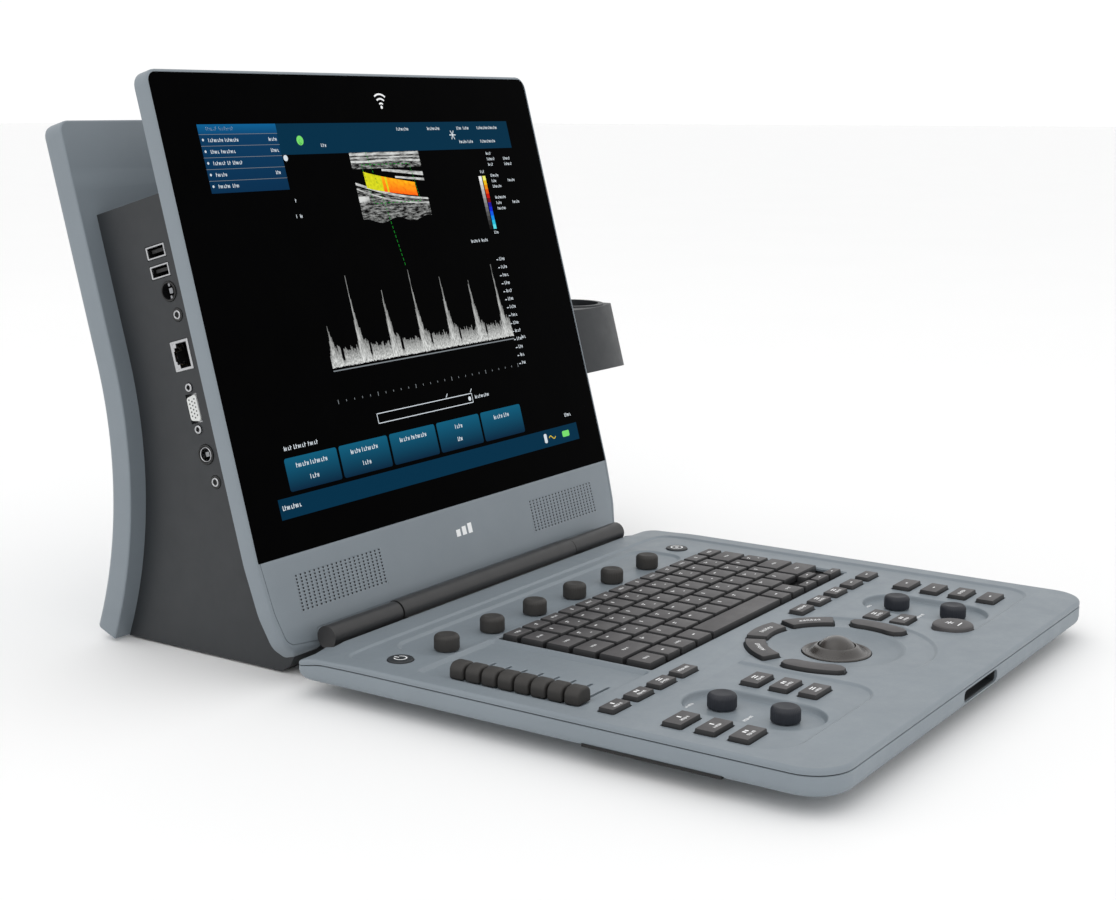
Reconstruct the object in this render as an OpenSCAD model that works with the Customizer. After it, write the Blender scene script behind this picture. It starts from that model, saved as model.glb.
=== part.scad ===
// Portable ultrasound scanner for a veterinary clinic: an upright console with a
// tilted display, and a control deck that folds up over the display on a hinge.
// X is to the right, Y to the back, Z up. The origin is the middle of the
// console's underside, on the table. The deck is open, flat on the table.

/* [Display] */
// Active width of the 15 inch, 4:3 panel
screen_w = 304; // [300:1:308]
// Active height of the panel
screen_h = 228; // [225:1:230]
// Backward tilt of the display
tilt = 15; // [13:0.5:16]
// Half width of the bezel
bezel_half_w = 182; // [181:0.5:184]
// Length of the bezel above the active area's lower edge
bezel_above = 262; // [261:1:266]
// Length of the bezel below the active area's lower edge
bezel_below = 77; // [76:1:78]
// Depth of the bezel's rim
bezel_t = 10.5; // [10.5:0.5:12]
// Height of the plain chin under the glass
chin_h = 57; // [53:1:57]

/* [Console] */
// Width of the dark housing behind the display
housing_w = 315; // [312:1:318]
// Height of the housing's top, measured along the display's slope
housing_top = 199; // [195:1:204]
// Width of the back cover
cover_w = 340; // [336:1:344]
// Thickness of the back cover
cover_t = 17; // [16:0.5:18]
// Height of the back cover's top, measured along the display's slope
cover_top = 256; // [252:1:260]
// Radius of the back cover's concave waist
waist_r = 275; // [270:5:280]
// Wall thickness of the housing
wall = 3; // [2.5:0.5:3.5]

/* [Hinge] */
// Radius of the two outer barrels
barrel_r = 6.8; // [6.5:0.1:7]
// Radius of the middle barrel, which turns with the deck
mid_barrel_r = 7.2; // [7:0.1:7.4]
// Half length of the whole barrel
barrel_half = 154; // [152:1:156]
// Half length of the middle barrel
mid_barrel_half = 92; // [88:0.5:93]
// Radius of the hinge pins
pin_r = 2.5; // [2:0.25:3]

/* [Deck] */
// Half width of the deck
deck_half_w = 183; // [182:0.5:185]
// Distance from the hinge axis to the deck's front edge
deck_front = 329; // [327:1:331]
// Height of the deck's top surface
deck_top = 24.8; // [24.6:0.1:25.2]
// Radius of the deck's front corners
deck_corner_r = 22; // [18:1:26]

/* [Controls] */
// Radius of the six soft-key knobs
menu_knob_r = 7.3; // [7:0.1:7.6]
// Radius of the four gain knobs
gain_knob_r = 7.7; // [7.4:0.1:8]
// Radius of the trackball
ball_r = 12.5; // [12.3:0.1:12.6]
// Spacing of the eight gain sliders
slider_pitch = 10.55; // [10.4:0.05:10.6]
// Gap round each key
key_gap = 0.3; // [0.2:0.05:0.4]

/* [Hidden] */
$fn = 64;

light_grey = [0.60, 0.64, 0.68];
dark_grey = [0.26, 0.27, 0.29];
barrel_grey = [0.28, 0.28, 0.28];
key_grey = [0.27, 0.26, 0.26];
knob_grey = [0.22, 0.21, 0.20];
knob_blue = [0.14, 0.15, 0.18];
gloss_black = [0.02, 0.02, 0.02];
steel = [0.72, 0.73, 0.75];
board_green = [0.10, 0.34, 0.20];
rubber = [0.09, 0.09, 0.09];
play = 0.05; // radial play of a shaft in its bore
joint_gap = 0.03; // gap between shells that are screwed together
slack = 0.3; // gap between parts that are fitted by hand

// Display plane: the active area's lower edge is at this height and place.
screen_y = -64;
screen_z = 90;
front_y = -63; // where the housing's underside ends
rim_w = 2;
glass_half_w = bezel_half_w - rim_w;
glass_low = chin_h - bezel_below;
glass_high = bezel_above - rim_w;
rim_t = 2;
face_t = 2.5;
back_t = 2.2;
corner_low = 24;
corner_high = 9;
// Notch in the bezel's lower edge, in front of which the hinge lies.
notch_half_w = 145;
notch_h = -66;

// Back cover: a concave waist of radius waist_r, then a straight stretch
// that runs parallel to the display.
base_z = 1.2;
waist_y = 43.5;
waist_z = 105;
waist_mid = [waist_y + waist_r, waist_z];
waist_end = waist_mid + waist_r * [-cos(tilt), sin(tilt)];
cover_depth = (waist_end[0] - screen_y) * cos(tilt) - (waist_end[1] - screen_z) * sin(tilt);
waist_end_h = (waist_end[0] - screen_y) * sin(tilt) + (waist_end[1] - screen_z) * cos(tilt);
cover_pocket = 14;
pocket_half_w = 138;
screw_x = 150.5;
screw_z = [25, 185];
screw_head_y = 66;
screw_boss_y = [39.5, 53.5];

// Ports on the left wall, by depth behind the display's face and height up it.
usb_depth = 48.5;
usb_h = [167.5, 156];
port_depth = 46.5;
network_h = 105.6;
vga_h = 73.9;
jackscrew_gap = 25;
din_depth = 45;
din_h = [143.3, 46.2];
jack_depth = 42.3;
jack_h = [128.9, 29.3];
din_r = 6;
jack_r = 4;
jack_bore_r = 1.8;
nut_r = 2.6;

// Probe sockets and probe holder on the right.
probe_socket_h = [120, 160];
probe_socket_depth = 44;
probe_socket_size = [58, 27];
holder_x = [197, 267];
holder_depth = [16, 72];
holder_floor = 44;
holder_top_z = 173.8;
holder_front_r = 90;
cup = [243, 44];
cup_r = 21.5;
cup_wall = 3.5;
cup_top_z = 174.8;

// Fan behind the back cover's slots.
fan_at = [85, 105];
fan_y = [42, 57];
fan_half = 30;
grille_slots = 7;

inlet_at = [-95, 48];
inlet_y = 60;

// Hinge axis and the control deck. On the deck, v is the distance in front of the axis.
hinge_y = -95;
hinge_z = 26;
hinge_depth = (hinge_y - screen_y) * cos(tilt) - (hinge_z - screen_z) * sin(tilt);
hinge_h = (hinge_y - screen_y) * sin(tilt) + (hinge_z - screen_z) * cos(tilt);
pin_x = [71, 111];
deck_back = 8.5;
ear_back = 1.5;
ear_r = 4;
ear_x = 158;
rim_low = 10;
belly_low = 2.5;
belly_inset = 38;
floor_t = 2.5;
seam_z = 21.5;
field_z = deck_top - 1.2;
key_top = 26;
key_low = 21.9;
flange_z = [19.6, 21.2];
board_z = [11.5, 13.1];
board_x = [-165, 160];
board_v = [40, 300];
boss_at = [[-60, 48], [70, 48], [-60, 190], [30, 190], [-60, 305], [60, 312]];

// Soft-key knobs in their channel behind the keyboard.
menu_knob_x = [for (i = [0:5]) -124 + 43.3 * i];
menu_knob_v = 63;
menu_knob_h = 9;
channel_z = 22.2;
// Gain knobs in two oval wells.
well_x = [-119.5, 101];
well_v = [236.5, 272.6];
well_r = 20.5;
well_z = 20.5;
gain_knob_h = 8;
stem_r = 3;
stem_low = 14.5;
encoder_top = 18.1;
round_button_x = [-156.5, 143.5];
round_button_v = 56;
round_button_r = 7.4;
// Slider tray.
tray_x = [-164, -98];
tray_v = [75, 180];
tray_z = 21.5;
slider_x = -157;
slider_v = [for (i = [0:7]) 99 + slider_pitch * i];
slider_travel = 28;
// Trackball, its bowl, and the ring of five keys round it.
ball_v = 244;
ball_z = 17.2;
bowl_r = 38;
bowl_z = 20.5;
collar_r = [17.5, 11.2];
collar_h = 4.2;
bearing_r = 1.5;
ring_r = [39, 52];
arc_key_angles = [[27, 65], [71, 108], [114, 155]];
select_key_angles = [[-30, 16], [166, 212]];
freeze_at = [69.5, 285];
freeze_r = 12;
// Keyboard: for each row, its depth and its runs of [number, width] keys.
keyboard_x = -93;
keyboard_v = 77;
keyboard_w = 243;
surround_z = 22.9;
short_row = 12.6;
row_d = 17.7;
keyboard_rows = [
    [short_row, [[13, 18.69]]],
    [row_d, [[1, 19.5], [12, 16.5], [1, 25.5]]],
    [row_d, [[1, 21.3], [10, 17.7], [3, 14.9]]],
    [row_d, [[1, 23.4], [9, 18.4], [1, 16.5], [1, 12.5], [1, 25]]],
    [row_d, [[1, 33], [10, 18], [1, 30]]],
    [row_d, [[1, 19.5], [1, 15.5], [1, 17.5], [1, 18.5], [1, 85.5], [1, 15.5], [1, 17.5]]]];
keyboard_d = short_row + 5 * row_d;
arrow_w = 17.8;
seam = 1.1; // half the gap between two keyboard keys
// Other keys as [left, right, nearest to hinge, farthest].
row_key_boxes = concat(
    [for (i = [0:3]) [-167 + 23 * i, -149 + 23 * i, 191, 201]],
    [for (i = [0:4]) [44 + 23.3 * i, 62 + 23.3 * i, 191, 201]]);
side_key_boxes = concat(
    [for (i = [0:2]) [-167, -146, 228 + 18.5 * i, 240 + 18.5 * i]],
    [for (i = [0:2]) [-90, -70, 230 + 16.8 * i, 241.5 + 16.8 * i]],
    [for (i = [0:1]) [56, 76, 233 + 17 * i, 244 + 17 * i]],
    [for (i = [0:3]) [130, 151, 220 + 18.3 * i, 232 + 18.3 * i]]);

// ---- Frames and outlines ----

// Display frame: X across, Y behind the display's face, Z up its slope.
module on_display() {
    translate([0, screen_y, screen_z]) rotate([-tilt, 0, 0]) children();
}

module on_deck(x, v, z) {
    translate([x, hinge_y - v, z]) children();
}

// A point of the display frame as [y, z] of the whole part.
function display_point(depth, h) = [
    screen_y + h * sin(tilt) + depth * cos(tilt),
    screen_z + h * cos(tilt) - depth * sin(tilt)];

// Box between two opposite corners.
module span(low, high) {
    translate(low) cube(high - low);
}

// Outline in Y and Z, extruded along X about the centre plane.
module along_x(width) {
    rotate([90, 0, 90]) linear_extrude(width, center = true) children();
}

// Outline in X and Z, extruded along +Y.
module along_y(depth) {
    translate([0, depth, 0]) rotate([90, 0, 0]) linear_extrude(depth) children();
}

// Cylinder along +X from x0 to x1 at a depth and height on the display.
module display_rod(x0, x1, depth, h, r) {
    translate([x0, depth, h]) rotate([0, 90, 0]) cylinder(r = r, h = x1 - x0);
}

// Rectangle with one radius on the two low corners and one on the two high ones.
module soft_rect(low, high, r_low, r_high) {
    r = [r_low, r_high];
    y = [low[1] + r_low, high[1] - r_high];
    translate([low[0], y[0]]) square([high[0] - low[0], y[1] - y[0]]);
    translate([low[0] + r_low, low[1]]) square([high[0] - low[0] - 2 * r_low, r_low + 0.5]);
    translate([low[0] + r_high, y[1] - 0.5]) square([high[0] - low[0] - 2 * r_high, r_high + 0.5]);
    for (i = [0, 1], x = [low[0] + r[i], high[0] - r[i]]) translate([x, y[i]]) circle(r[i]);
}

module bezel_outline(inset) {
    soft_rect([-bezel_half_w + inset, -bezel_below + inset],
              [bezel_half_w - inset, bezel_above - inset], corner_low - inset, corner_high - inset);
}

// Deck outline round the hinge axis, with the barrel's notch at its back edge.
module deck_outline(inset) {
    difference() {
        soft_rect([-deck_half_w + inset, -deck_front + inset], [deck_half_w - inset, -ear_back - inset],
                  max(4, deck_corner_r - inset), max(1, ear_r - inset));
        translate([-ear_x - inset, -deck_back - inset]) square([2 * (ear_x + inset), 20 + inset]);
    }
}

module deck_layer(low, high, inset) {
    translate([0, hinge_y, low]) linear_extrude(high - low) deck_outline(inset);
}

// Rounded box on the deck, from corner [x, v] to corner [x, v].
module deck_pad(x, v, z, r) {
    translate([0, hinge_y, z[0]]) linear_extrude(z[1] - z[0])
        soft_rect([x[0], -v[1]], [x[1], -v[0]], r, r);
}

// Capsule on the deck that runs along v.
module deck_capsule(x, v, r, z) {
    for (end = v) on_deck(x, end, z[0]) cylinder(r = r, h = z[1] - z[0]);
    span([x - r, hinge_y - v[1], z[0]], [x + r, hinge_y - v[0], z[1]]);
}

// ---- Console ----

module housing_outline() {
    front = bezel_t + joint_gap;
    difference() {
        polygon([[front_y, base_z], [front_y - 7, 6],
                 display_point(front, -bezel_below), display_point(front, housing_top),
                 display_point(cover_depth - joint_gap, housing_top),
                 waist_end - joint_gap * [cos(tilt), -sin(tilt)],
                 [130, 100], [130, base_z]]);
        translate(waist_mid) circle(waist_r + joint_gap, $fn = 180);
    }
}

module housing_space() {
    polygon([[front_y + 14, base_z + wall], display_point(bezel_t + 6, -56), display_point(bezel_t - 1, -56),
             display_point(bezel_t - 1, housing_top - wall),
             display_point(cover_depth + 9, housing_top - wall),
             [140, 100], [140, base_z + wall]]);
}

module main_housing() {
    color(dark_grey) difference() {
        union() {
            difference() {
                along_x(housing_w) housing_outline();
                along_x(housing_w - 2 * wall) housing_space();
            }
            for (x = [-1, 1], z = screw_z)
                translate([x * screw_x, screw_boss_y[0], z]) rotate([-90, 0, 0])
                    cylinder(r = 5.4, h = screw_boss_y[1] - screw_boss_y[0]);
        }
        for (x = [-1, 1], z = screw_z)
            translate([x * screw_x, screw_boss_y[0] + 2, z]) rotate([-90, 0, 0])
                cylinder(r = 1.5 + play, h = 20);
        on_display() {
            port_cuts();
            for (h = probe_socket_h)
                translate([housing_w / 2, probe_socket_depth, h])
                    cube([4 * wall, probe_socket_size[0] + slack, probe_socket_size[1] + slack],
                         center = true);
        }
    }
}

module port_cuts() {
    left = -housing_w / 2;
    for (h = usb_h) translate([left, usb_depth, h]) cube([4 * wall, 16.4, 8.4], center = true);
    translate([left, port_depth, network_h]) cube([4 * wall, 15.4, 18.4], center = true);
    translate([left, port_depth, vga_h]) cube([4 * wall, 9.2, 17.4], center = true);
    for (side = [-0.5, 0.5])
        display_rod(left - 5, left + 5, port_depth, vga_h + side * jackscrew_gap, nut_r + 0.3);
    for (h = din_h) display_rod(left - 5, left + 5, din_depth, h, din_r + 0.2);
    for (h = jack_h) display_rod(left - 5, left + 5, jack_depth, h, jack_r + 0.2);
}

// The waist's ring between two radii, from a floor height up to the straight stretch.
module waist_ring(r_out, r_in, floor_z) {
    reach = 400;
    intersection() {
        translate(waist_mid) difference() {
            circle(r_out, $fn = 180);
            circle(r_in, $fn = 180);
        }
        polygon([waist_mid, waist_mid + reach * [-cos(tilt), sin(tilt)],
                 [waist_mid[0] - reach, floor_z], [waist_mid[0], floor_z]]);
    }
}

// A slab parallel to the display, between two depths and two heights.
module sloped_slab(depth, h) {
    polygon([display_point(depth[0], h[0]), display_point(depth[0], h[1]),
             display_point(depth[1], h[1]), display_point(depth[1], h[0])]);
}

module rear_cover() {
    grip_h = [219, 245];
    grip_r = (grip_h[1] - grip_h[0]) / 2;
    color(light_grey) difference() {
        union() {
            difference() {
                along_x(cover_w) {
                    waist_ring(waist_r, waist_r - cover_t, base_z);
                    sloped_slab([cover_depth, cover_depth + cover_t], [waist_end_h - 0.5, cover_top]);
                }
                along_x(2 * pocket_half_w) {
                    waist_ring(waist_r + 4, waist_r - cover_pocket, 12);
                    sloped_slab([cover_depth - 4, cover_depth + cover_pocket],
                                [waist_end_h - 0.5, housing_top - 8]);
                }
            }
            intersection() {
                span([inlet_at[0] - 23, 40, inlet_at[1] - 18], [inlet_at[0] + 23, 90, inlet_at[1] + 18]);
                along_x(cover_w) waist_ring(waist_r - 1, waist_r - cover_t + 1, base_z);
            }
        }
        on_display() {
            for (x = [-50, 50]) translate([x, cover_depth - 1, 232]) rotate([-90, 0, 0])
                cylinder(r = grip_r, h = cover_t + 2);
            span([-50, cover_depth - 1, grip_h[0]], [50, cover_depth + cover_t + 1, grip_h[1]]);
        }
        for (i = [0:grille_slots - 1]) {
            z = fan_at[1] + 8 * (i - (grille_slots - 1) / 2);
            span([fan_at[0] - 26, 50, z - 2], [fan_at[0] + 26, 80, z + 2]);
        }
        span([inlet_at[0] - 19, inlet_y, inlet_at[1] - 14], [inlet_at[0] + 19, 100, inlet_at[1] + 14]);
        span([inlet_at[0] - 14.2, 30, inlet_at[1] - 10.2], [inlet_at[0] + 14.2, 70, inlet_at[1] + 10.2]);
        for (x = [-1, 1], z = screw_z) translate([x * screw_x, 0, z]) rotate([-90, 0, 0]) {
            cylinder(r = 1.8, h = 100);
            translate([0, 0, screw_head_y]) cylinder(r = 3.8, h = 30);
        }
    }
}

module grille_windows(grow) {
    for (side = [-1, 1])
        translate([side * 116.5 - 39.5 - grow, -54 - grow]) square([79 + 2 * grow, 23 + 2 * grow]);
}

module front_bezel() {
    color(light_grey) on_display() {
        difference() {
            along_y(bezel_t) bezel_outline(0);
            translate([0, face_t, 0]) along_y(bezel_t) bezel_outline(rim_t);
            translate([0, -1, 0]) along_y(bezel_t)
                soft_rect([-glass_half_w - 0.2, glass_low - 0.2],
                          [glass_half_w + 0.2, glass_high + 0.2], 1, 6);
            translate([0, -1, 0]) along_y(bezel_t) grille_windows(0);
            span([-notch_half_w, -1, -bezel_below - 1], [notch_half_w, bezel_t + 1, notch_h]);
        }
        // Ledge that carries the glass.
        translate([0, face_t - 0.1, 0]) along_y(2.1) difference() {
            soft_rect([-glass_half_w - 1, glass_low - 4], [glass_half_w + 1, glass_high + 1], 1, 6);
            soft_rect([-168, glass_low + 5], [168, 247], 3, 3);
        }
    }
}

module display_back() {
    color(light_grey) on_display() difference() {
        translate([0, bezel_t - back_t, 0]) along_y(back_t) bezel_outline(rim_t + slack);
        span([-notch_half_w - 1, 0, -bezel_below - 1], [notch_half_w + 1, 30, notch_h + 1]);
        span([-90, 0, 60], [-40, 30, 80]);
    }
}

module screen_glass() {
    color(gloss_black) on_display() translate([0, 0.3, 0]) along_y(2)
        soft_rect([-glass_half_w, glass_low], [glass_half_w, glass_high], 1, 6);
}

module lcd_panel() {
    color(steel) on_display() {
        span([-screen_w / 2 - 11.2, face_t, -10], [screen_w / 2 + 11.2, bezel_t - back_t, screen_h + 12.8]);
    }
}

module speaker_grilles() {
    color(light_grey) on_display() along_y(2) difference() {
        grille_windows(-0.15);
        for (side = [-1, 1], i = [0:18], j = [0:6])
            translate([side * 116.5 + 4 * (i - 9) - 0.8, -42.5 + 3 * (j - 3) - 0.8]) square(1.6);
    }
}

module speakers() {
    color(rubber) on_display() for (side = [-1, 1]) {
        x = side * 116.5;
        difference() {
            span([x - 34, 3.2, -53], [x + 34, bezel_t - back_t, -32]);
            for (cone = [-17, 17]) translate([x + cone, 3, -42.5]) rotate([-90, 0, 0])
                cylinder(r1 = 9, r2 = 4, h = 4);
        }
    }
}

module usb_sockets() {
    left = -housing_w / 2;
    for (h = usb_h) on_display() {
        color(steel) difference() {
            span([left, usb_depth - 8, h - 4], [left + 15, usb_depth + 8, h + 4]);
            span([left - 1, usb_depth - 7, h - 3], [left + 12, usb_depth + 7, h + 3]);
        }
        color(gloss_black) span([left + 2, usb_depth - 5.5, h], [left + 13, usb_depth + 5.5, h + 1.8]);
    }
}

module network_socket() {
    left = -housing_w / 2;
    color(steel) on_display() difference() {
        span([left, port_depth - 7.5, network_h - 9], [left + 20, port_depth + 7.5, network_h + 9]);
        span([left - 1, port_depth - 4.5, network_h - 6.2], [left + 15, port_depth + 4, network_h + 6.2]);
        span([left - 1, port_depth + 3, network_h - 3.2], [left + 13, port_depth + 5.8, network_h + 3.2]);
    }
}

module vga_socket() {
    left = -housing_w / 2;
    color(steel) on_display() difference() {
        union() {
            span([left + wall, port_depth - 6.2, vga_h - 16.5], [left + 14, port_depth + 6.2, vga_h + 16.5]);
            span([left - 0.5, port_depth - 4.2, vga_h - 8.3], [left + 4, port_depth + 4.2, vga_h + 8.3]);
            for (side = [-0.5, 0.5])
                display_rod(left - 1, left + 4, port_depth, vga_h + side * jackscrew_gap, nut_r);
        }
        for (side = [-0.5, 0.5])
            display_rod(left - 2, left + 7, port_depth, vga_h + side * jackscrew_gap, 1.42);
    }
}

module round_sockets() {
    left = -housing_w / 2;
    color(steel) on_display() {
        for (h = din_h) difference() {
            display_rod(left - 1, left + 14, din_depth, h, din_r);
            display_rod(left - 2, left + 8, din_depth, h, din_r - 1.4);
        }
        for (h = din_h) display_rod(left + 1, left + 9, din_depth, h, 2);
        for (h = jack_h) difference() {
            display_rod(left - 1, left + 16, jack_depth, h, jack_r);
            display_rod(left - 2, left + 14, jack_depth, h, jack_bore_r);
        }
    }
}

module probe_sockets() {
    right = housing_w / 2;
    mid = probe_socket_depth;
    d = probe_socket_size[0] / 2;
    color(rubber) on_display() for (h = probe_socket_h) {
        difference() {
            span([right - 18, mid - d, h - 13.5], [right + 3, mid + d, h + 13.5]);
            span([right - 6, mid - d + 3, h - 10.5], [right + 4, mid + d - 3, h + 10.5]);
        }
        span([right - 7, mid - d + 9, h - 4], [right, mid + d - 15, h + 4]);
        display_rod(right - 7, right + 1, mid + d - 9, h, 3.5);
    }
}

// The half-space above a level, in a box round the probe holder.
module above(z) {
    span([housing_w / 2, -200, z], [holder_x[1] + 20, 200, z + 100]);
}

module probe_holder() {
    mid_x = (holder_x[0] + holder_x[1]) / 2;
    color(dark_grey) difference() {
        union() {
            difference() {
                on_display() {
                    intersection() {
                        span([holder_x[0], holder_depth[0], holder_floor],
                             [holder_x[1], holder_depth[1], 120]);
                        translate([mid_x, holder_depth[0] + holder_front_r, 0])
                            cylinder(r = holder_front_r, h = 120, $fn = 128);
                    }
                    span([housing_w / 2, 26, 50], [holder_x[0] + 4, 64, 82]);
                }
                above(holder_top_z);
            }
            difference() {
                on_display() translate([cup[0], cup[1], holder_floor + 1])
                    cylinder(r = cup_r + cup_wall, h = 75);
                above(cup_top_z);
            }
        }
        on_display() translate([cup[0], cup[1], holder_floor + 5]) cylinder(r = cup_r, h = 80);
    }
}

module power_inlet() {
    x = inlet_at[0];
    z = inlet_at[1];
    color(rubber) {
        difference() {
            union() {
                span([x - 17, inlet_y, z - 12.5], [x + 17, inlet_y + 2, z + 12.5]);
                span([x - 14, inlet_y - 14, z - 10], [x + 14, inlet_y + 1, z + 10]);
            }
            span([x - 12, inlet_y - 11, z - 8], [x + 12, inlet_y + 3, z + 8]);
        }
        for (pin = [-7, 0, 7])
            span([x + pin - 1, inlet_y - 12, z - 2], [x + pin + 1, inlet_y - 2, z + 2]);
    }
}

module main_board() {
    on_display() {
        color(board_green) span([-130, 16, -8], [130, 17.6, 168]);
        color(steel) for (x = [-122, 122], h = [0, 160]) translate([x, bezel_t, h]) rotate([-90, 0, 0])
            cylinder(r = 3, h = 16.5 - bezel_t);
        color(gloss_black) for (x = [-90, -40, 40, 90], h = [40, 100])
            span([x - 15, 17, h - 15], [x + 15, 21, h + 15]);
    }
}

module power_supply() {
    color(steel) span([-145, -40, base_z + wall], [-60, 24, 44]);
}

module battery_pack() {
    color(rubber) span([-40, -44, base_z + wall], [135, 6, 30]);
}

module fan_frame() {
    color(rubber) translate([fan_at[0], 0, fan_at[1]]) {
        difference() {
            span([-fan_half, fan_y[0], -fan_half], [fan_half, fan_y[1], fan_half]);
            translate([0, fan_y[0] - 1, 0]) rotate([-90, 0, 0]) cylinder(r = 28, h = 30);
        }
        for (turn = [45, 135]) rotate([0, turn, 0]) span([-29, fan_y[1] - 1.8, -2], [29, fan_y[1], 2]);
        translate([0, fan_y[1] - 13, 0]) rotate([-90, 0, 0]) cylinder(r = 1.5, h = 12);
        translate([0, fan_y[1] - 1.8, 0]) rotate([-90, 0, 0]) cylinder(r = 10, h = 1.8);
    }
}

module fan_rotor() {
    color(dark_grey) translate([fan_at[0], fan_y[0] + 1, fan_at[1]]) rotate([-90, 0, 0]) difference() {
        union() {
            cylinder(r = 12, h = 11);
            for (blade = [0:6]) rotate([0, 0, blade * 360 / 7])
                translate([11, 0, 5.5]) rotate([35, 0, 0]) translate([0, -0.7, -5]) cube([15, 1.4, 10]);
        }
        cylinder(r = 1.5 + play, h = 30, center = true);
    }
}

module base_pad() {
    color(rubber) difference() {
        span([-130, front_y + 9, 0], [130, 50, base_z]);
        span([-112, front_y + 27, -1], [112, 32, base_z + 1]);
    }
}

module housing_screws() {
    color(steel) for (x = [-1, 1], z = screw_z)
        translate([x * screw_x, 0, z]) rotate([-90, 0, 0]) difference() {
        union() {
            translate([0, 0, screw_boss_y[0] + 3])
                cylinder(r = 1.5, h = screw_head_y - screw_boss_y[0] - 2.5);
            translate([0, 0, screw_head_y]) cylinder(r = 3.4, h = 2.6);
        }
        translate([-3, -0.4, screw_head_y + 1.6]) cube([6, 0.8, 2]);
        translate([-0.4, -3, screw_head_y + 1.6]) cube([0.8, 6, 2]);
    }
}

// ---- Hinge ----

module barrel_stretch(x0, x1, r) {
    translate([x0, hinge_y, hinge_z]) rotate([0, 90, 0]) cylinder(r = r, h = x1 - x0);
}

module hinge_bracket() {
    gap = 1;
    plate_half_w = notch_half_w - 1;
    color(barrel_grey) difference() {
        union() {
            for (side = [-1, 1])
                barrel_stretch(min(side * barrel_half, side * (mid_barrel_half + gap)),
                               max(side * barrel_half, side * (mid_barrel_half + gap)), barrel_r);
            on_display() {
                span([-plate_half_w, -5, hinge_h - 3.6], [plate_half_w, bezel_t, hinge_h + 3.4]);
                for (x = [-plate_half_w, mid_barrel_half + gap + 1])
                    span([x, hinge_depth, hinge_h - 3.6],
                         [x + plate_half_w - mid_barrel_half - gap - 1, -4, hinge_h + 3.4]);
            }
        }
        barrel_stretch(-pin_x[1] - 1, pin_x[1] + 1, pin_r + play);
    }
}

module hinge_pins() {
    color(steel) for (x = [-pin_x[1], pin_x[0]]) barrel_stretch(x, x + pin_x[1] - pin_x[0], pin_r);
}

module hinge_cover() {
    color(barrel_grey) difference() {
        union() {
            barrel_stretch(-mid_barrel_half, mid_barrel_half, mid_barrel_r);
            on_deck(0, deck_back, 19.6) translate([-mid_barrel_half + 2, 0, 0])
                cube([2 * mid_barrel_half - 4, deck_back - 2, 4.2]);
        }
        barrel_stretch(-mid_barrel_half - 1, 0.5 - pin_x[0], pin_r + play);
        barrel_stretch(pin_x[0] - 0.5, mid_barrel_half + 1, pin_r + play);
    }
}

// ---- Control deck ----

module deck_bottom_shell() {
    color(light_grey) {
        difference() {
            union() {
                deck_layer(rim_low, seam_z - 0.3, 0);
                deck_layer(belly_low, rim_low + 1, belly_inset);
            }
            difference() {
                deck_layer(rim_low + floor_t, 40, 3);
                span([-27, hinge_y - deck_front, 0], [27, hinge_y - deck_front + 9, 40]);
            }
            deck_layer(belly_low + 1.7, rim_low + 3, belly_inset + 2.2);
            // The floor is thinner under the circuit board.
            span([board_x[0] - 1.5, hinge_y - board_v[1] - 1.5, board_z[0] - 0.1],
                 [board_x[1] + 1.5, hinge_y - board_v[0] + 1.5, 40]);
            span([-24, hinge_y - deck_front - 1, 13], [24, hinge_y - deck_front + 6.5, 20]);
            for (x = [-deck_half_w - 1, deck_half_w - 11])
                span([x, hinge_y - 272, rim_low - 1], [x + 12, hinge_y - 191, rim_low + 1.7]);
        }
        for (p = boss_at) {
            low = p[1] > 55 && p[1] < 285 ? belly_low + 1 : rim_low + 0.5;
            on_deck(p[0], p[1], low) difference() {
                cylinder(r = 3.5, h = 17.3 - low);
                translate([0, 0, 3]) cylinder(r = 1.2, h = 20);
            }
        }
    }
}

module deck_top_shell() {
    color(light_grey) difference() {
        union() {
            deck_layer(seam_z, deck_top, 0);
            for (p = boss_at) on_deck(p[0], p[1], 17.4) cylinder(r = 3.5, h = seam_z - 17);
            for (x = well_x) deck_capsule(x, well_v, well_r + 2, [well_z - 2, seam_z + 1]);
            deck_pad([tray_x[0] - 2, tray_x[1] + 2], [tray_v[0] - 2, tray_v[1] + 2], [tray_z - 2, seam_z + 1], 3);
            on_deck(0, ball_v, bowl_z - 2) cylinder(r = 28, h = 3);
        }
        field_cuts();
        control_holes();
    }
}

// Sunk fields of the control surface.
module field_cuts() {
    top = deck_top + 1;
    deck_pad([-172, 172], [26, 214], [field_z, top], 10);
    for (x = [[-172, -58], [58, 172]]) deck_pad(x, [150, 299], [field_z, top], 20);
    on_deck(0, ball_v, field_z) cylinder(r = ring_r[1] + 3, h = 3);
    deck_pad([-141, 128], [35, 73], [channel_z, top], 15);
    deck_pad([keyboard_x - 2.2, keyboard_x + keyboard_w + 2.2], [75, keyboard_v + keyboard_d + 2.2],
             [surround_z, top], 2);
    deck_pad(tray_x, tray_v, [tray_z, top], 3);
    for (x = well_x) deck_capsule(x, well_v, well_r, [well_z, top]);
    on_deck(0, ball_v, bowl_z) cylinder(r1 = 21, r2 = bowl_r, h = field_z - bowl_z + 0.01);
}

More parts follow.
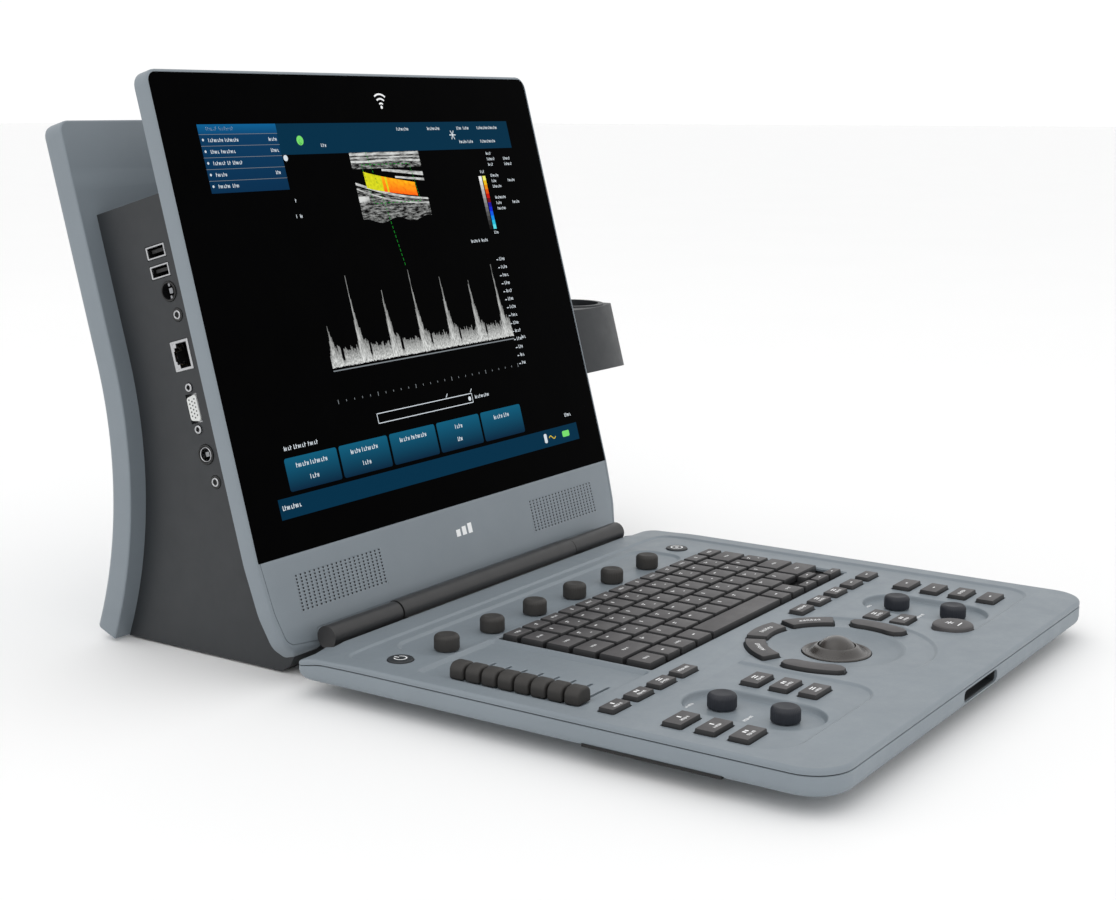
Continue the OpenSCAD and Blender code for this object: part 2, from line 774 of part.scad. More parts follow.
// Holes for the keys, knobs, sliders and the ball's housing.
module control_holes() {
    low = 10;
    high = 40;
    deck_pad([keyboard_x - 1, keyboard_x + keyboard_w + 1], [keyboard_v - 0.8, keyboard_v + keyboard_d + 0.8],
             [low, high], 1);
    for (b = concat(row_key_boxes, side_key_boxes)) key_block(b, [low, high], key_gap);
    for (a = concat(arc_key_angles, select_key_angles)) ring_key(a, [low, high], key_gap);
    on_deck(freeze_at[0], freeze_at[1], low) cylinder(r = freeze_r + key_gap, h = 30);
    for (x = round_button_x) on_deck(x, round_button_v, low) cylinder(r = round_button_r + key_gap, h = 30);
    for (x = menu_knob_x) on_deck(x, menu_knob_v, low) cylinder(r = 4.8, h = 30);
    for (x = well_x, v = well_v) on_deck(x, v, low) cylinder(r = 4.8, h = 30);
    for (v = slider_v)
        span([slider_x - 2.5, hinge_y - v - 0.9, low], [slider_x + slider_travel + 2.5, hinge_y - v + 0.9, high]);
    on_deck(0, ball_v, low) cylinder(r = 19.9, h = 30);
}

module control_board() {
    color(board_green) difference() {
        span([board_x[0], hinge_y - board_v[1], board_z[0]], [board_x[1], hinge_y - board_v[0], board_z[1]]);
        on_deck(0, ball_v, 0) cylinder(r = 20.5, h = 30);
        for (p = boss_at) on_deck(p[0], p[1], 0) cylinder(r = 4.2, h = 30);
    }
}

// Housing with a collar round the ball and a bearing bore on either side of it.
module trackball_housing() {
    color(dark_grey) difference() {
        union() {
            on_deck(0, ball_v, belly_low + 1.7) cylinder(r = 19.5, h = bowl_z - belly_low - 1.7);
            on_deck(0, ball_v, bowl_z) cylinder(r1 = collar_r[0], r2 = collar_r[1], h = collar_h);
        }
        on_deck(0, ball_v, ball_z) sphere(ball_r + 0.4);
        on_deck(0, ball_v, ball_z) rotate([0, 90, 0]) cylinder(r = bearing_r, h = 34, center = true);
    }
}

module trackball() {
    color(dark_grey) on_deck(0, ball_v, ball_z) sphere(ball_r);
}

module encoder(x, v, top) {
    on_deck(x, v, 0) difference() {
        union() {
            span([-6, -6, board_z[1]], [6, 6, encoder_top]);
            translate([0, 0, encoder_top - 0.5]) cylinder(r = 4.4, h = top - encoder_top + 0.5);
        }
        translate([0, 0, stem_low - 0.5]) cylinder(r = stem_r + play, h = 20);
    }
}

module rotary_encoders() {
    color(steel) {
        for (x = menu_knob_x) encoder(x, menu_knob_v, channel_z - 0.2);
        for (x = well_x, v = well_v) encoder(x, v, well_z);
    }
}

module knob(x, v, low, r, h) {
    on_deck(x, v, 0) {
        rotate_extrude() polygon([[0, low], [r - 0.5, low], [r, low + 0.6], [r, low + h - 1.6],
            [r - 0.5, low + h - 0.5], [r - 1.3, low + h], [0, low + h]]);
        translate([0, 0, stem_low]) cylinder(r = stem_r, h = low - stem_low + 1);
    }
}

module menu_knob(i) {
    color(knob_grey) knob(menu_knob_x[i], menu_knob_v, channel_z + 0.4, menu_knob_r, menu_knob_h);
}

module gain_knob(i) {
    color(knob_blue) knob(well_x[floor(i / 2)], well_v[i % 2], well_z + 0.4, gain_knob_r, gain_knob_h);
}

module slider_tracks() {
    color(steel) for (v = slider_v) on_deck(slider_x, v, 0) difference() {
        span([-6, -4.2, board_z[1]], [slider_travel + 7, 4.2, 18.9]);
        span([-2.7, -0.95, 14.6], [slider_travel + 2.7, 0.95, 20]);
    }
}

module slider(i) {
    color(knob_grey) on_deck(slider_x, slider_v[i], 0) {
        difference() {
            along_y_centred(9.2) soft_rect([-6.2, tray_z + 0.4], [6.2, tray_z + 9.4], 1, 3);
            for (groove = [-1, 1]) span([groove * 1.6 - 0.3, -5, tray_z + 8.9], [groove * 1.6 + 0.3, 5, 40]);
        }
        span([-1.5, -0.6, 15.4], [1.5, 0.6, tray_z + 2]);
    }
}

module along_y_centred(width) {
    translate([0, -width / 2, 0]) along_y(width) children();
}

module key_block(b, z, grow) {
    span([b[0] - grow, hinge_y - b[3] - grow, z[0]], [b[1] + grow, hinge_y - b[2] + grow, z[1]]);
}

module key(b) {
    key_block(b, [key_low - 1, key_top], 0);
    key_block(b, flange_z, 1);
}

module row_keys() {
    color(key_grey) for (b = row_key_boxes) key(b);
}

module side_keys() {
    color(key_grey) for (b = side_key_boxes) key(b);
}

// Key on the ring round the ball, between two angles.
module ring_key(a, z, grow) {
    swing = grow * 180 / PI / ring_r[0];
    reach = 2 * ring_r[1];
    mid = (a[0] + a[1]) / 2;
    on_deck(0, ball_v, z[0]) linear_extrude(z[1] - z[0]) intersection() {
        difference() {
            circle(ring_r[1] + grow, $fn = 128);
            circle(ring_r[0] - grow, $fn = 128);
        }
        polygon([[0, 0], reach * dir(a[0] - swing), reach * dir(mid), reach * dir(a[1] + swing)]);
    }
}

function dir(angle) = [cos(angle), sin(angle)];

module arc_keys() {
    color(key_grey) for (a = arc_key_angles) {
        ring_key(a, [key_low - 1, key_top], 0);
        ring_key(a, flange_z, 0.8);
    }
}

module select_keys() {
    color(key_grey) for (a = select_key_angles) {
        ring_key(a, [key_low - 1, key_top], 0);
        ring_key(a, flange_z, 0.8);
    }
}

module freeze_key() {
    color(key_grey) on_deck(freeze_at[0], freeze_at[1], flange_z[0]) cylinder(r = freeze_r, h = 27 - flange_z[0]);
}

module round_button(x) {
    color(dark_grey) on_deck(x, round_button_v, 0) {
        translate([0, 0, flange_z[0]]) cylinder(r = round_button_r + 1, h = flange_z[1] - flange_z[0]);
        translate([0, 0, key_low - 1]) cylinder(r = round_button_r, h = field_z + 1.2 - key_low + 1);
    }
}

module keyboard_base() {
    color(rubber) difference() {
        deck_pad([keyboard_x - 2.4, keyboard_x + keyboard_w + 3], [keyboard_v - 3, keyboard_v + keyboard_d + 3],
                 [19, seam_z], 1);
        deck_pad([keyboard_x - 0.9, keyboard_x + keyboard_w + 1], [keyboard_v - 0.8, keyboard_v + keyboard_d + 0.8],
                 [20.6, seam_z + 1], 1);
    }
}

function sum_before(list, n) = n <= 0 ? 0 : list[n - 1] + sum_before(list, n - 1);
function row_widths(runs) = [for (run = runs) for (k = [1:run[0]]) run[1]];

module board_key(x, v, w, d) {
    key_block([x + seam, x + w - seam, v + seam, v + d - seam], [key_low + 0.2, key_top], 0);
}

module qwerty_keys() {
    color(key_grey) {
        for (r = [0:len(keyboard_rows) - 1]) {
            v = keyboard_v + (r == 0 ? 0 : short_row + (r - 1) * row_d);
            widths = row_widths(keyboard_rows[r][1]);
            for (k = [0:len(widths) - 1])
                board_key(keyboard_x + sum_before(widths, k), v, widths[k], keyboard_rows[r][0]);
        }
        arrow_x = keyboard_x + keyboard_w - 3 * arrow_w;
        arrow_v = keyboard_v + keyboard_d - row_d;
        for (k = [0:2]) board_key(arrow_x + k * arrow_w, arrow_v + row_d / 2, arrow_w, row_d / 2);
        board_key(arrow_x + arrow_w, arrow_v, arrow_w, row_d / 2);
    }
}

// Four feet, and a strip in the scoop under each side edge.
module deck_feet() {
    color(rubber) {
        for (x = [-125, 125], v = [60, 275]) on_deck(x, v, 0) cylinder(r = 9, h = belly_low);
        for (x = [-deck_half_w + 0.5, deck_half_w - 5.5])
            span([x, hinge_y - 271, rim_low], [x + 5, hinge_y - 192, rim_low + 1.7]);
    }
}

main_housing();
rear_cover();
front_bezel();
display_back();
screen_glass();
lcd_panel();
speaker_grilles();
speakers();
usb_sockets();
network_socket();
vga_socket();
round_sockets();
probe_sockets();
probe_holder();
power_inlet();
main_board();
power_supply();
battery_pack();
fan_frame();
fan_rotor();
hinge_bracket();
hinge_pins();
base_pad();
housing_screws();
deck_top_shell();
deck_bottom_shell();
control_board();
trackball_housing();
rotary_encoders();
slider_tracks();
keyboard_base();
hinge_cover();
deck_feet();
trackball();
round_button(round_button_x[0]);  // power_button
round_button(round_button_x[1]);  // help_button
qwerty_keys();
row_keys();
side_keys();
arc_keys();
select_keys();
freeze_key();
for (i = [0:5]) menu_knob(i);
for (i = [0:3]) gain_knob(i);
for (i = [0:7]) slider(i);
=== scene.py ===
import bpy, bmesh, math, random
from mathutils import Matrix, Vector


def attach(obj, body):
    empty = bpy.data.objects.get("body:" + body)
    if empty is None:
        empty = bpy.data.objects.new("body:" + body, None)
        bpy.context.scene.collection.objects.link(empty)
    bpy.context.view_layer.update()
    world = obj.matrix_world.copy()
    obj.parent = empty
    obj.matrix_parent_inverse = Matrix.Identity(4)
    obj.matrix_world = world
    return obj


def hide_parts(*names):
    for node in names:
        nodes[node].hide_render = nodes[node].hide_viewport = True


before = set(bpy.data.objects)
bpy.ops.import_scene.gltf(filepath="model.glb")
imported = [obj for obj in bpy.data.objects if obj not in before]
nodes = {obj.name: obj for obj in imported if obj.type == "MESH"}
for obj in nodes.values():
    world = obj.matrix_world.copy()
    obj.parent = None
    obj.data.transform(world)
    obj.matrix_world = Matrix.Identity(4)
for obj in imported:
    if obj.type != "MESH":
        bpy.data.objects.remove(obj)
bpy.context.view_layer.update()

# ---------------------------------------------------------------- frames, in millimetres
TILT = math.radians(15)
AXIS_Y = -95.0
FACE_Y, FACE_Z = -64, 90


def disp(x, h, d):
    """A point of the display: across, up its slope, behind its face."""
    sin, cos = math.sin(TILT), math.cos(TILT)
    return (x, FACE_Y + h * sin + d * cos, FACE_Z + h * cos - d * sin)


def deck(x, b, z):
    """A point of the deck: across, behind the hinge axis, up."""
    return (x, AXIS_Y + b, z)


# ---------------------------------------------------------------- mesh building
def outline(corners, inset=0.0, seg=6):
    """Counter-clockwise polygon of (a, b, radius), moved inwards, with rounded corners."""
    n = len(corners)
    p = [Vector(c[:2]) for c in corners]
    q = []
    for i in range(n):
        d0 = (p[i] - p[i - 1]).normalized()
        d1 = (p[(i + 1) % n] - p[i]).normalized()
        n0, n1 = Vector((-d0.y, d0.x)), Vector((-d1.y, d1.x))
        q.append(p[i] + (n0 + n1) * (inset / (1 + n0.dot(n1))))
    out = []
    for i in range(n):
        d0 = (q[i] - q[i - 1]).normalized()
        d1 = (q[(i + 1) % n] - q[i]).normalized()
        turn = d0.x * d1.y - d0.y * d1.x
        r = corners[i][2]
        if r <= 0:
            out.append(tuple(q[i]))
            continue
        side = 1 if turn > 0 else -1
        r = max(r - side * inset, 0.05)
        angle = d0.angle(d1)
        start = q[i] - d0 * (r * math.tan(angle / 2))
        centre = start + Vector((-d0.y, d0.x)) * (side * r)
        arm = start - centre
        for k in range(seg + 1):
            a = side * angle * k / seg
            out.append((centre.x + arm.x * math.cos(a) - arm.y * math.sin(a),
                        centre.y + arm.x * math.sin(a) + arm.y * math.cos(a)))
    return out


def rect(a0, b0, a1, b1, r=1.0):
    return [(a0, b0, r), (a1, b0, r), (a1, b1, r), (a0, b1, r)]


def edge(z0, z1, r0=0.0, r1=0.0, seg=3):
    """Section of (inset, level) with a rounded first and last edge."""
    out = []
    for k in range(seg + 1 if r0 else 1):
        a = math.pi / 2 * k / seg
        out.append((r0 * (1 - math.sin(a)), z0 + r0 * (1 - math.cos(a))))
    for k in range(seg + 1 if r1 else 1):
        a = math.pi / 2 * k / seg
        out.append((r1 * (1 - math.cos(a)), z1 - r1 + r1 * math.sin(a)))
    return out


def soft(floor, top, wall, over=4.0, seg=7):
    """Section of a recess with soft edges, from its floor up past the surface."""
    out = []
    for k in range(seg + 1):
        t = k / seg
        out.append((wall * (1 - t), floor + (top - floor) * t * t * (3 - 2 * t)))
    out[-1] = (0, top + 0.01)
    return out + [(-0.01, top + over)]


def ease(t):
    t = max(0.0, min(1.0, t))
    return t * t * (3 - 2 * t)


class Build:
    """Collects lofted shapes, in millimetres, for one mesh."""

    def __init__(self):
        self.v, self.f, self.m, self.uv = [], [], [], []

    def loft(self, loops, caps=(True, True), closed=False, mat=0):
        base, n, k = len(self.v), len(loops[0]), len(loops)
        for loop in loops:
            self.v += [(p[0] / 1000, p[1] / 1000, p[2] / 1000) for p in loop]
        for i in range(k if closed else k - 1):
            a, b = base + i * n, base + ((i + 1) % k) * n
            for j in range(n):
                t = (j + 1) % n
                self.f.append((a + j, a + t, b + t, b + j))
                self.m.append(mat)
        if not closed and caps[0]:
            self.f.append(tuple(range(base + n - 1, base - 1, -1)))
            self.m.append(mat)
        if not closed and caps[1]:
            self.f.append(tuple(range(base + (k - 1) * n, base + k * n)))
            self.m.append(mat)
        return self

    def slab(self, corners, section, to3, seg=6, closed=False, mat=0):
        loops = []
        for inset, level in section:
            loops.append([to3(a, b, level) for a, b in outline(corners, inset, seg)])
        return self.loft(loops, closed=closed, mat=mat)

    def lathe(self, a, b, profile, to3, n=48, ribs=0, rib=0.0, closed=False, mat=0):
        loops = []
        for r, z in profile:
            ring = []
            for k in range(n):
                t = 2 * math.pi * k / n
                q = r - (rib * (0.5 + 0.5 * math.cos(ribs * t)) if ribs and z > profile[1][1] else 0)
                ring.append(to3(a + q * math.cos(t), b + q * math.sin(t), z))
            loops.append(ring)
        return self.loft(loops, closed=closed, mat=mat)

    def quad(self, pts, mat=0):
        base = len(self.v)
        self.v += [(p[0] / 1000, p[1] / 1000, p[2] / 1000) for p in pts]
        self.f.append(tuple(range(base, base + len(pts))))
        self.m.append(mat)
        return self

    def make(self, name, sharp=34):
        me = bpy.data.meshes.new(name)
        me.from_pydata(self.v, [], self.f)
        me.polygons.foreach_set("material_index", self.m)
        bm = bmesh.new()
        bm.from_mesh(me)
        bmesh.ops.recalc_face_normals(bm, faces=bm.faces)
        bm.to_mesh(me)
        bm.free()
        ob = bpy.data.objects.new(name, me)
        bpy.context.scene.collection.objects.link(ob)
        smooth(ob, sharp)
        return ob


def smooth(ob, sharp=34):
    ob.data.shade_smooth()
    ob.data.set_sharp_from_angle(angle=math.radians(sharp))


def carve(ob, *cutters, sharp=34, how="DIFFERENCE"):
    """Takes the cutters out of the object, one after the other."""
    for c in cutters:
        mod = ob.modifiers.new("cut", "BOOLEAN")
        mod.operation, mod.solver, mod.object = how, "EXACT", c
    bpy.context.view_layer.update()
    dg = bpy.context.evaluated_depsgraph_get()
    me = bpy.data.meshes.new_from_object(ob.evaluated_get(dg))
    ob.modifiers.clear()
    old = ob.data
    ob.data = me
    bpy.data.meshes.remove(old)
    me.name = ob.name
    for c in cutters:
        mesh = c.data
        bpy.data.objects.remove(c)
        bpy.data.meshes.remove(mesh)
    smooth(ob, sharp)
    return ob


def weighted(ob):
    mod = ob.modifiers.new("normals", "WEIGHTED_NORMAL")
    mod.keep_sharp = True
    mod.weight = 60
    return ob


def soften(ob, width, seg=2, angle=38):
    """Rounds the sharp edges of a mesh."""
    weld = ob.modifiers.new("weld", "WELD")
    weld.merge_threshold = 0.00001
    mod = ob.modifiers.new("edges", "BEVEL")
    mod.width, mod.segments, mod.limit_method = width / 1000, seg, "ANGLE"
    mod.angle_limit = math.radians(angle)
    mod.miter_outer = "MITER_ARC"
    mod.use_clamp_overlap = True
    smooth(ob, 50)
    return weighted(ob)


# ---------------------------------------------------------------- materials
UNDER_GLASS = 0.006


def rgb(*channels):
    """Screen colour, 0 to 255, as linear light."""
    return tuple(c / 255 / 12.92 if c < 11 else ((c / 255 + 0.055) / 1.055) ** 2.4 for c in channels) + (1.0,)


def nd(m, kind, ins=None, **props):
    node = m.node_tree.nodes.new("ShaderNode" + kind)
    for key, value in props.items():
        setattr(node, key, value)
    for key, value in (ins or {}).items():
        if isinstance(value, bpy.types.NodeSocket):
            m.node_tree.links.new(value, node.inputs[key])
        else:
            node.inputs[key].default_value = value
    return node


def maths(m, op, a, b=0.0, clamp=False):
    node = nd(m, "Math", {0: a, 1: b}, operation=op)
    node.use_clamp = clamp
    return node.outputs[0]


def blank(name):
    m = bpy.data.materials.new(name)
    m.use_nodes = True
    return m, m.node_tree.nodes["Principled BSDF"]


def link(m, a, b):
    m.node_tree.links.new(a, b)


def tint(colour, k):
    return tuple(min(1, c * k) for c in colour[:3]) + (1.0,)


def plastic(name, colour, rough=0.5, grain=1900, bump=0.12, spread=0.05, wear=0.12, coat=0.0):
    """Moulded plastic: spark-eroded grain, faint clouding, handling marks, and a painted highlight that makes
    convex edges paler.
    """
    m, p = blank(name)
    co = nd(m, "TexCoord").outputs["Object"]
    cloud = nd(m, "TexNoise", {"Vector": co, "Scale": 16.0, "Detail": 4.0, "Roughness": 0.6}).outputs["Fac"]
    smear = nd(m, "TexNoise", {"Vector": co, "Scale": 70.0, "Detail": 6.0, "Roughness": 0.7}).outputs["Fac"]
    fine = nd(m, "TexNoise", {"Vector": co, "Scale": grain, "Detail": 2.0, "Roughness": 0.6}).outputs["Fac"]
    speck = nd(m, "TexVoronoi", {"Vector": co, "Scale": grain * 0.6}, feature="SMOOTH_F1").outputs["Distance"]
    mixed = maths(m, "ADD", maths(m, "MULTIPLY", cloud, 0.7), maths(m, "MULTIPLY", fine, 0.3))
    ramp = nd(m, "MapRange", {"Value": mixed, 1: 0.3, 2: 0.7, 3: 0.0, 4: 1.0}).outputs[0]
    base = nd(m, "Mix", {0: ramp, 6: tint(colour, 1 - spread), 7: tint(colour, 1 + spread)}, data_type="RGBA")
    # Painted highlight: convex edges, found by pointiness, are mixed towards a paler tint.
    rim = nd(m, "NewGeometry").outputs["Pointiness"]
    rim = nd(m, "MapRange", {"Value": rim, 1: 0.515, 2: 0.6, 3: 0.0, 4: wear}).outputs[0]
    edge_highlit = nd(m, "Mix", {0: rim, 6: base.outputs[2], 7: tint(colour, 1.9)}, data_type="RGBA")
    link(m, edge_highlit.outputs[2], p.inputs["Base Color"])
    r = nd(m, "MapRange", {"Value": smear, 1: 0.35, 2: 0.75, 3: rough - 0.05, 4: rough + 0.09}).outputs[0]
    link(m, r, p.inputs["Roughness"])
    height = maths(m, "ADD", maths(m, "MULTIPLY", fine, 0.6), maths(m, "MULTIPLY", speck, 0.4))
    b = nd(m, "Bump", {"Height": height, "Strength": bump, "Distance": 0.0002})
    link(m, b.outputs[0], p.inputs["Normal"])
    p.inputs["Coat Weight"].default_value = coat
    p.inputs["Coat Roughness"].default_value = 0.25
    return m


def plated(name, colour, rough=0.28):
    """Plated or brushed metal with fine scratches."""
    m, p = blank(name)
    co = nd(m, "TexCoord").outputs["Object"]
    stretch = nd(m, "Mapping", {"Vector": co, "Scale": (400.0, 3000.0, 300.0)}).outputs[0]
    scratch = nd(m, "TexNoise", {"Vector": stretch, "Scale": 1.0, "Detail": 5.0}).outputs["Fac"]
    spots = nd(m, "TexNoise", {"Vector": co, "Scale": 240.0, "Detail": 4.0}).outputs["Fac"]
    mix = nd(m, "Mix", {0: spots, 6: tint(colour, 0.82), 7: tint(colour, 1.1)}, data_type="RGBA")
    link(m, mix.outputs[2], p.inputs["Base Color"])
    r = nd(m, "MapRange", {"Value": scratch, 1: 0.3, 2: 0.7, 3: rough - 0.08, 4: rough + 0.12}).outputs[0]
    link(m, r, p.inputs["Roughness"])
    b = nd(m, "Bump", {"Height": scratch, "Strength": 0.08, "Distance": 0.0001})
    link(m, b.outputs[0], p.inputs["Normal"])
    p.inputs["Metallic"].default_value = 1.0
    return m


def lacquer():
    """Circuit board: green lacquer with copper runs showing through."""
    m, p = blank("board_lacquer")
    co = nd(m, "TexCoord").outputs["Object"]
    greens = {"Color1": rgb(20, 92, 48), "Color2": rgb(14, 74, 40), "Mortar": rgb(46, 128, 70)}
    runs = nd(m, "TexBrick", {"Vector": co, "Scale": 160.0, "Mortar Size": 0.03, **greens})
    link(m, runs.outputs["Color"], p.inputs["Base Color"])
    b = nd(m, "Bump", {"Height": runs.outputs["Fac"], "Strength": 0.2, "Distance": 0.0001})
    link(m, b.outputs[0], p.inputs["Normal"])
    p.inputs["Roughness"].default_value = 0.3
    return m


def glossy_black():
    """Front glass: black, polished, with the faintest dust and wipe marks."""
    m, p = blank("glass_black")
    co = nd(m, "TexCoord").outputs["Object"]
    wipe = nd(m, "TexNoise", {"Vector": co, "Scale": 30.0, "Detail": 6.0, "Roughness": 0.75}).outputs["Fac"]
    rough = nd(m, "MapRange", {"Value": wipe, 1: 0.3, 2: 0.8, 3: 0.05, 4: 0.13}).outputs[0]
    link(m, rough, p.inputs["Roughness"])
    dust = {6: (0.0004, 0.0004, 0.0005, 1), 7: (0.0013, 0.0013, 0.0014, 1)}
    mix = nd(m, "Mix", {0: wipe, **dust}, data_type="RGBA")
    link(m, mix.outputs[2], p.inputs["Base Color"])
    p.inputs["Specular IOR Level"].default_value = UNDER_GLASS
    return m


def screen_point(name):
    """Material of a lit spot under the glass: all its light is its own."""
    m, p = blank(name)
    p.inputs["Base Color"].default_value = (0.002, 0.002, 0.002, 1)
    p.inputs["Roughness"].default_value = 0.08
    p.inputs["Specular IOR Level"].default_value = UNDER_GLASS
    return m, p, nd(m, "UVMap").outputs["UV"]


def lit(name, colour, strength=1.0, mottle=0.0, low=None, scale=1.0):
    """Part of the lit picture under the glass; low is its colour at the lower edge."""
    m, p, uv = screen_point(name)
    tone = colour
    if low is not None:
        up = nd(m, "SeparateXYZ", {0: uv}).outputs[1]
        tone = nd(m, "Mix", {0: up, 6: low, 7: colour}, data_type="RGBA").outputs[2]
    if mottle:
        n = nd(m, "TexNoise", {"Vector": uv, "Scale": 9.0 * scale, "Detail": 5.0}).outputs["Fac"]
        n = nd(m, "MapRange", {"Value": n, 1: 0.3, 2: 0.7, 3: 1 - mottle, 4: 1 + mottle}).outputs[0]
        tone = nd(m, "Mix", {0: 1.0, 6: tone, 7: n}, data_type="RGBA", blend_type="MULTIPLY").outputs[2]
    if isinstance(tone, bpy.types.NodeSocket):
        link(m, tone, p.inputs["Emission Color"])
    else:
        p.inputs["Emission Color"].default_value = tone
    p.inputs["Emission Strength"].default_value = strength
    return m


def dress(ob, *mats):
    for m in mats:
        ob.data.materials.append(m)
    return ob


def welded(ob, dist):
    """Joins points that lie together, and turns all faces outwards."""
    bm = bmesh.new()
    bm.from_mesh(ob.data)
    bmesh.ops.remove_doubles(bm, verts=bm.verts, dist=dist)
    bmesh.ops.recalc_face_normals(bm, faces=bm.faces)
    bm.to_mesh(ob.data)
    bm.free()
    return ob


def settle(ob, body, slot, *replaced):
    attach(ob, body)
    if replaced:
        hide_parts(*replaced)
    return ob


LIGHT = plastic("shell_light", rgb(124, 133, 140), 0.46, bump=0.1)
DARK = plastic("shell_dark", rgb(40, 43, 46), 0.5, bump=0.14, wear=0.08)
BARREL = plastic("hinge_satin", rgb(39, 39, 40), 0.4, bump=0.1, wear=0.1)
KEYTOP = plastic("key_top", rgb(70, 68, 69), 0.52, grain=2600, bump=0.14, wear=0.0)
# Painted shade: the key sides are a darker copy of the key plastic.
KEY_SIDE_SHADE = plastic("key_side", rgb(27, 27, 29), 0.5, grain=2600, wear=0.1)
KNOB = plastic("knob_soft", rgb(50, 48, 46), 0.62, grain=2400, bump=0.2, wear=0.1)
BLUEKNOB = plastic("knob_blue_black", rgb(31, 34, 42), 0.58, grain=2400, bump=0.2, wear=0.1)
BLACK = plastic("black_plastic_fine", rgb(20, 20, 21), 0.45, wear=0.06)
RUBBER = plastic("rubber_matt", rgb(28, 28, 28), 0.8, grain=1200, bump=0.3, wear=0.05)
# Painted shade: near-black for the insides of the grille holes, the jack bores and the seam band.
PAINTED_SHADE = plastic("deep_shadow", rgb(9, 9, 10), 0.8, wear=0.0)
BALL = plastic("ball_resin", rgb(56, 52, 49), 0.3, grain=900, bump=0.02, spread=0.12, wear=0.0, coat=0.3)
STEEL = plated("nickel_plate", rgb(190, 191, 193), 0.3)
ZINC = plated("pressed_zinc", rgb(150, 152, 155), 0.42)
GOLD = plated("gold_contacts", rgb(212, 170, 86), 0.3)
GLASS = glossy_black()
PRINT = plastic("printed_white", rgb(246, 247, 248), 0.5, bump=0.03, wear=0.0)
INSERT = plastic("socket_insert", rgb(214, 216, 214), 0.45, wear=0.0)
BOARD = lacquer()

# ---------------------------------------------------------------- the display's bezel
# The outer line, and the line where its face begins, both with the barrel's notch below.
bezel_line = [(-174.5, -69, 14), (-166, -77, 8), (-145, -77, 2), (-145, -66, 1.2), (145, -66, 1.2),
              (145, -77, 2), (166, -77, 8), (174.5, -69, 14), (179.6, -50, 40), (182, -20, 60),
              (182, 262, 9), (-182, 262, 9), (-182, -20, 60), (-179.6, -50, 40)]
face_line = [(-173.3, -67.4, 9), (-168.2, -71, 5), (-145, -73.6, 1.2), (-145, -66, 1), (145, -66, 1),
             (145, -73.6, 1.2), (168.2, -71, 5), (173.3, -67.4, 9), (177.9, -50, 40), (180.4, -20, 60),
             (180.4, 260.4, 7.4), (-180.4, 260.4, 7.4), (-180.4, -20, 60), (-177.9, -50, 40)]


def bezel_loops(seg=6, steps=6):
    """From the face round the rim to the back; the chin's lower edge rolls under far more than the sides."""
    outer, face = outline(bezel_line, 0, seg), outline(face_line, 0, seg)
    loops = []
    for k in range(steps + 1):
        a = math.pi / 2 * k / steps
        loop = []
        for (x0, h0), (x1, h1) in zip(face, outer):
            reach = 1.5 + 4.5 * ease((-58 - h1) / 14)
            t = math.sin(a)
            loop.append(disp(x0 + (x1 - x0) * t, h0 + (h1 - h0) * t, reach * (1 - math.cos(a))))
        loops.append(loop)
    loops.append([disp(x, h, 9.9) for x, h in outer])
    loops.append([disp(x, h, 10.5) for x, h in outline(bezel_line, 0.6, seg)])
    return loops


bezel = Build().loft(bezel_loops()).make("bezel_shell")
hollow = Build().slab(bezel_line, [(2.6, 2.5), (2.6, 11)], disp, 6).make("c1")
pocket = [(-180.2, -20.2, 0.8), (180.2, -20.2, 0.8), (180.2, 260.2, 6.2), (-180.2, 260.2, 6.2)]
pocket = Build().slab(pocket, [(0, -2), (0, 2.4)], disp).make("c2")
window = Build().slab(rect(-168, -15, 168, 247, 3), [(0, 0), (0, 16)], disp).make("c3")
groove = Build().slab(face_line, [(1.25, -1), (1.35, 0.5), (1.7, 0.5), (1.8, -1)], disp, 6, closed=True)
SPEAKER_X, SPEAKER_H = 116.5, -42.5
grilles = Build()
for s in (-1, 1):
    x = s * SPEAKER_X
    grilles.slab(rect(x - 38.82, SPEAKER_H - 11.02, x + 38.82, SPEAKER_H + 11.02, 0), [(0, -2), (0, 6)], disp)
carve(bezel, hollow, pocket, window, groove.make("c4"), grilles.make("c5"))
settle(dress(weighted(bezel), LIGHT), "console", "light_shell", "front_bezel")

back = Build().slab(bezel_line, [(2.6 + i, z) for i, z in edge(8.35, 10.45, 0.3, 0.6)], disp, 6)
back = back.make("display_rear_panel")
carve(back, Build().slab(rect(-90, 60, -40, 80, 2), [(0, 5), (0, 20)], disp).make("c7"))
settle(dress(weighted(back), LIGHT), "console", "light_shell", "display_back")

glass = [(-180, -20, 0.6), (180, -20, 0.6), (180, 260, 6), (-180, 260, 6)]
glass = Build().slab(glass, edge(0.3, 2.3, 0.3, 0.2), disp, 8).make("glass_front")
settle(dress(weighted(glass), GLASS), "console", "front_glass", "screen_glass")

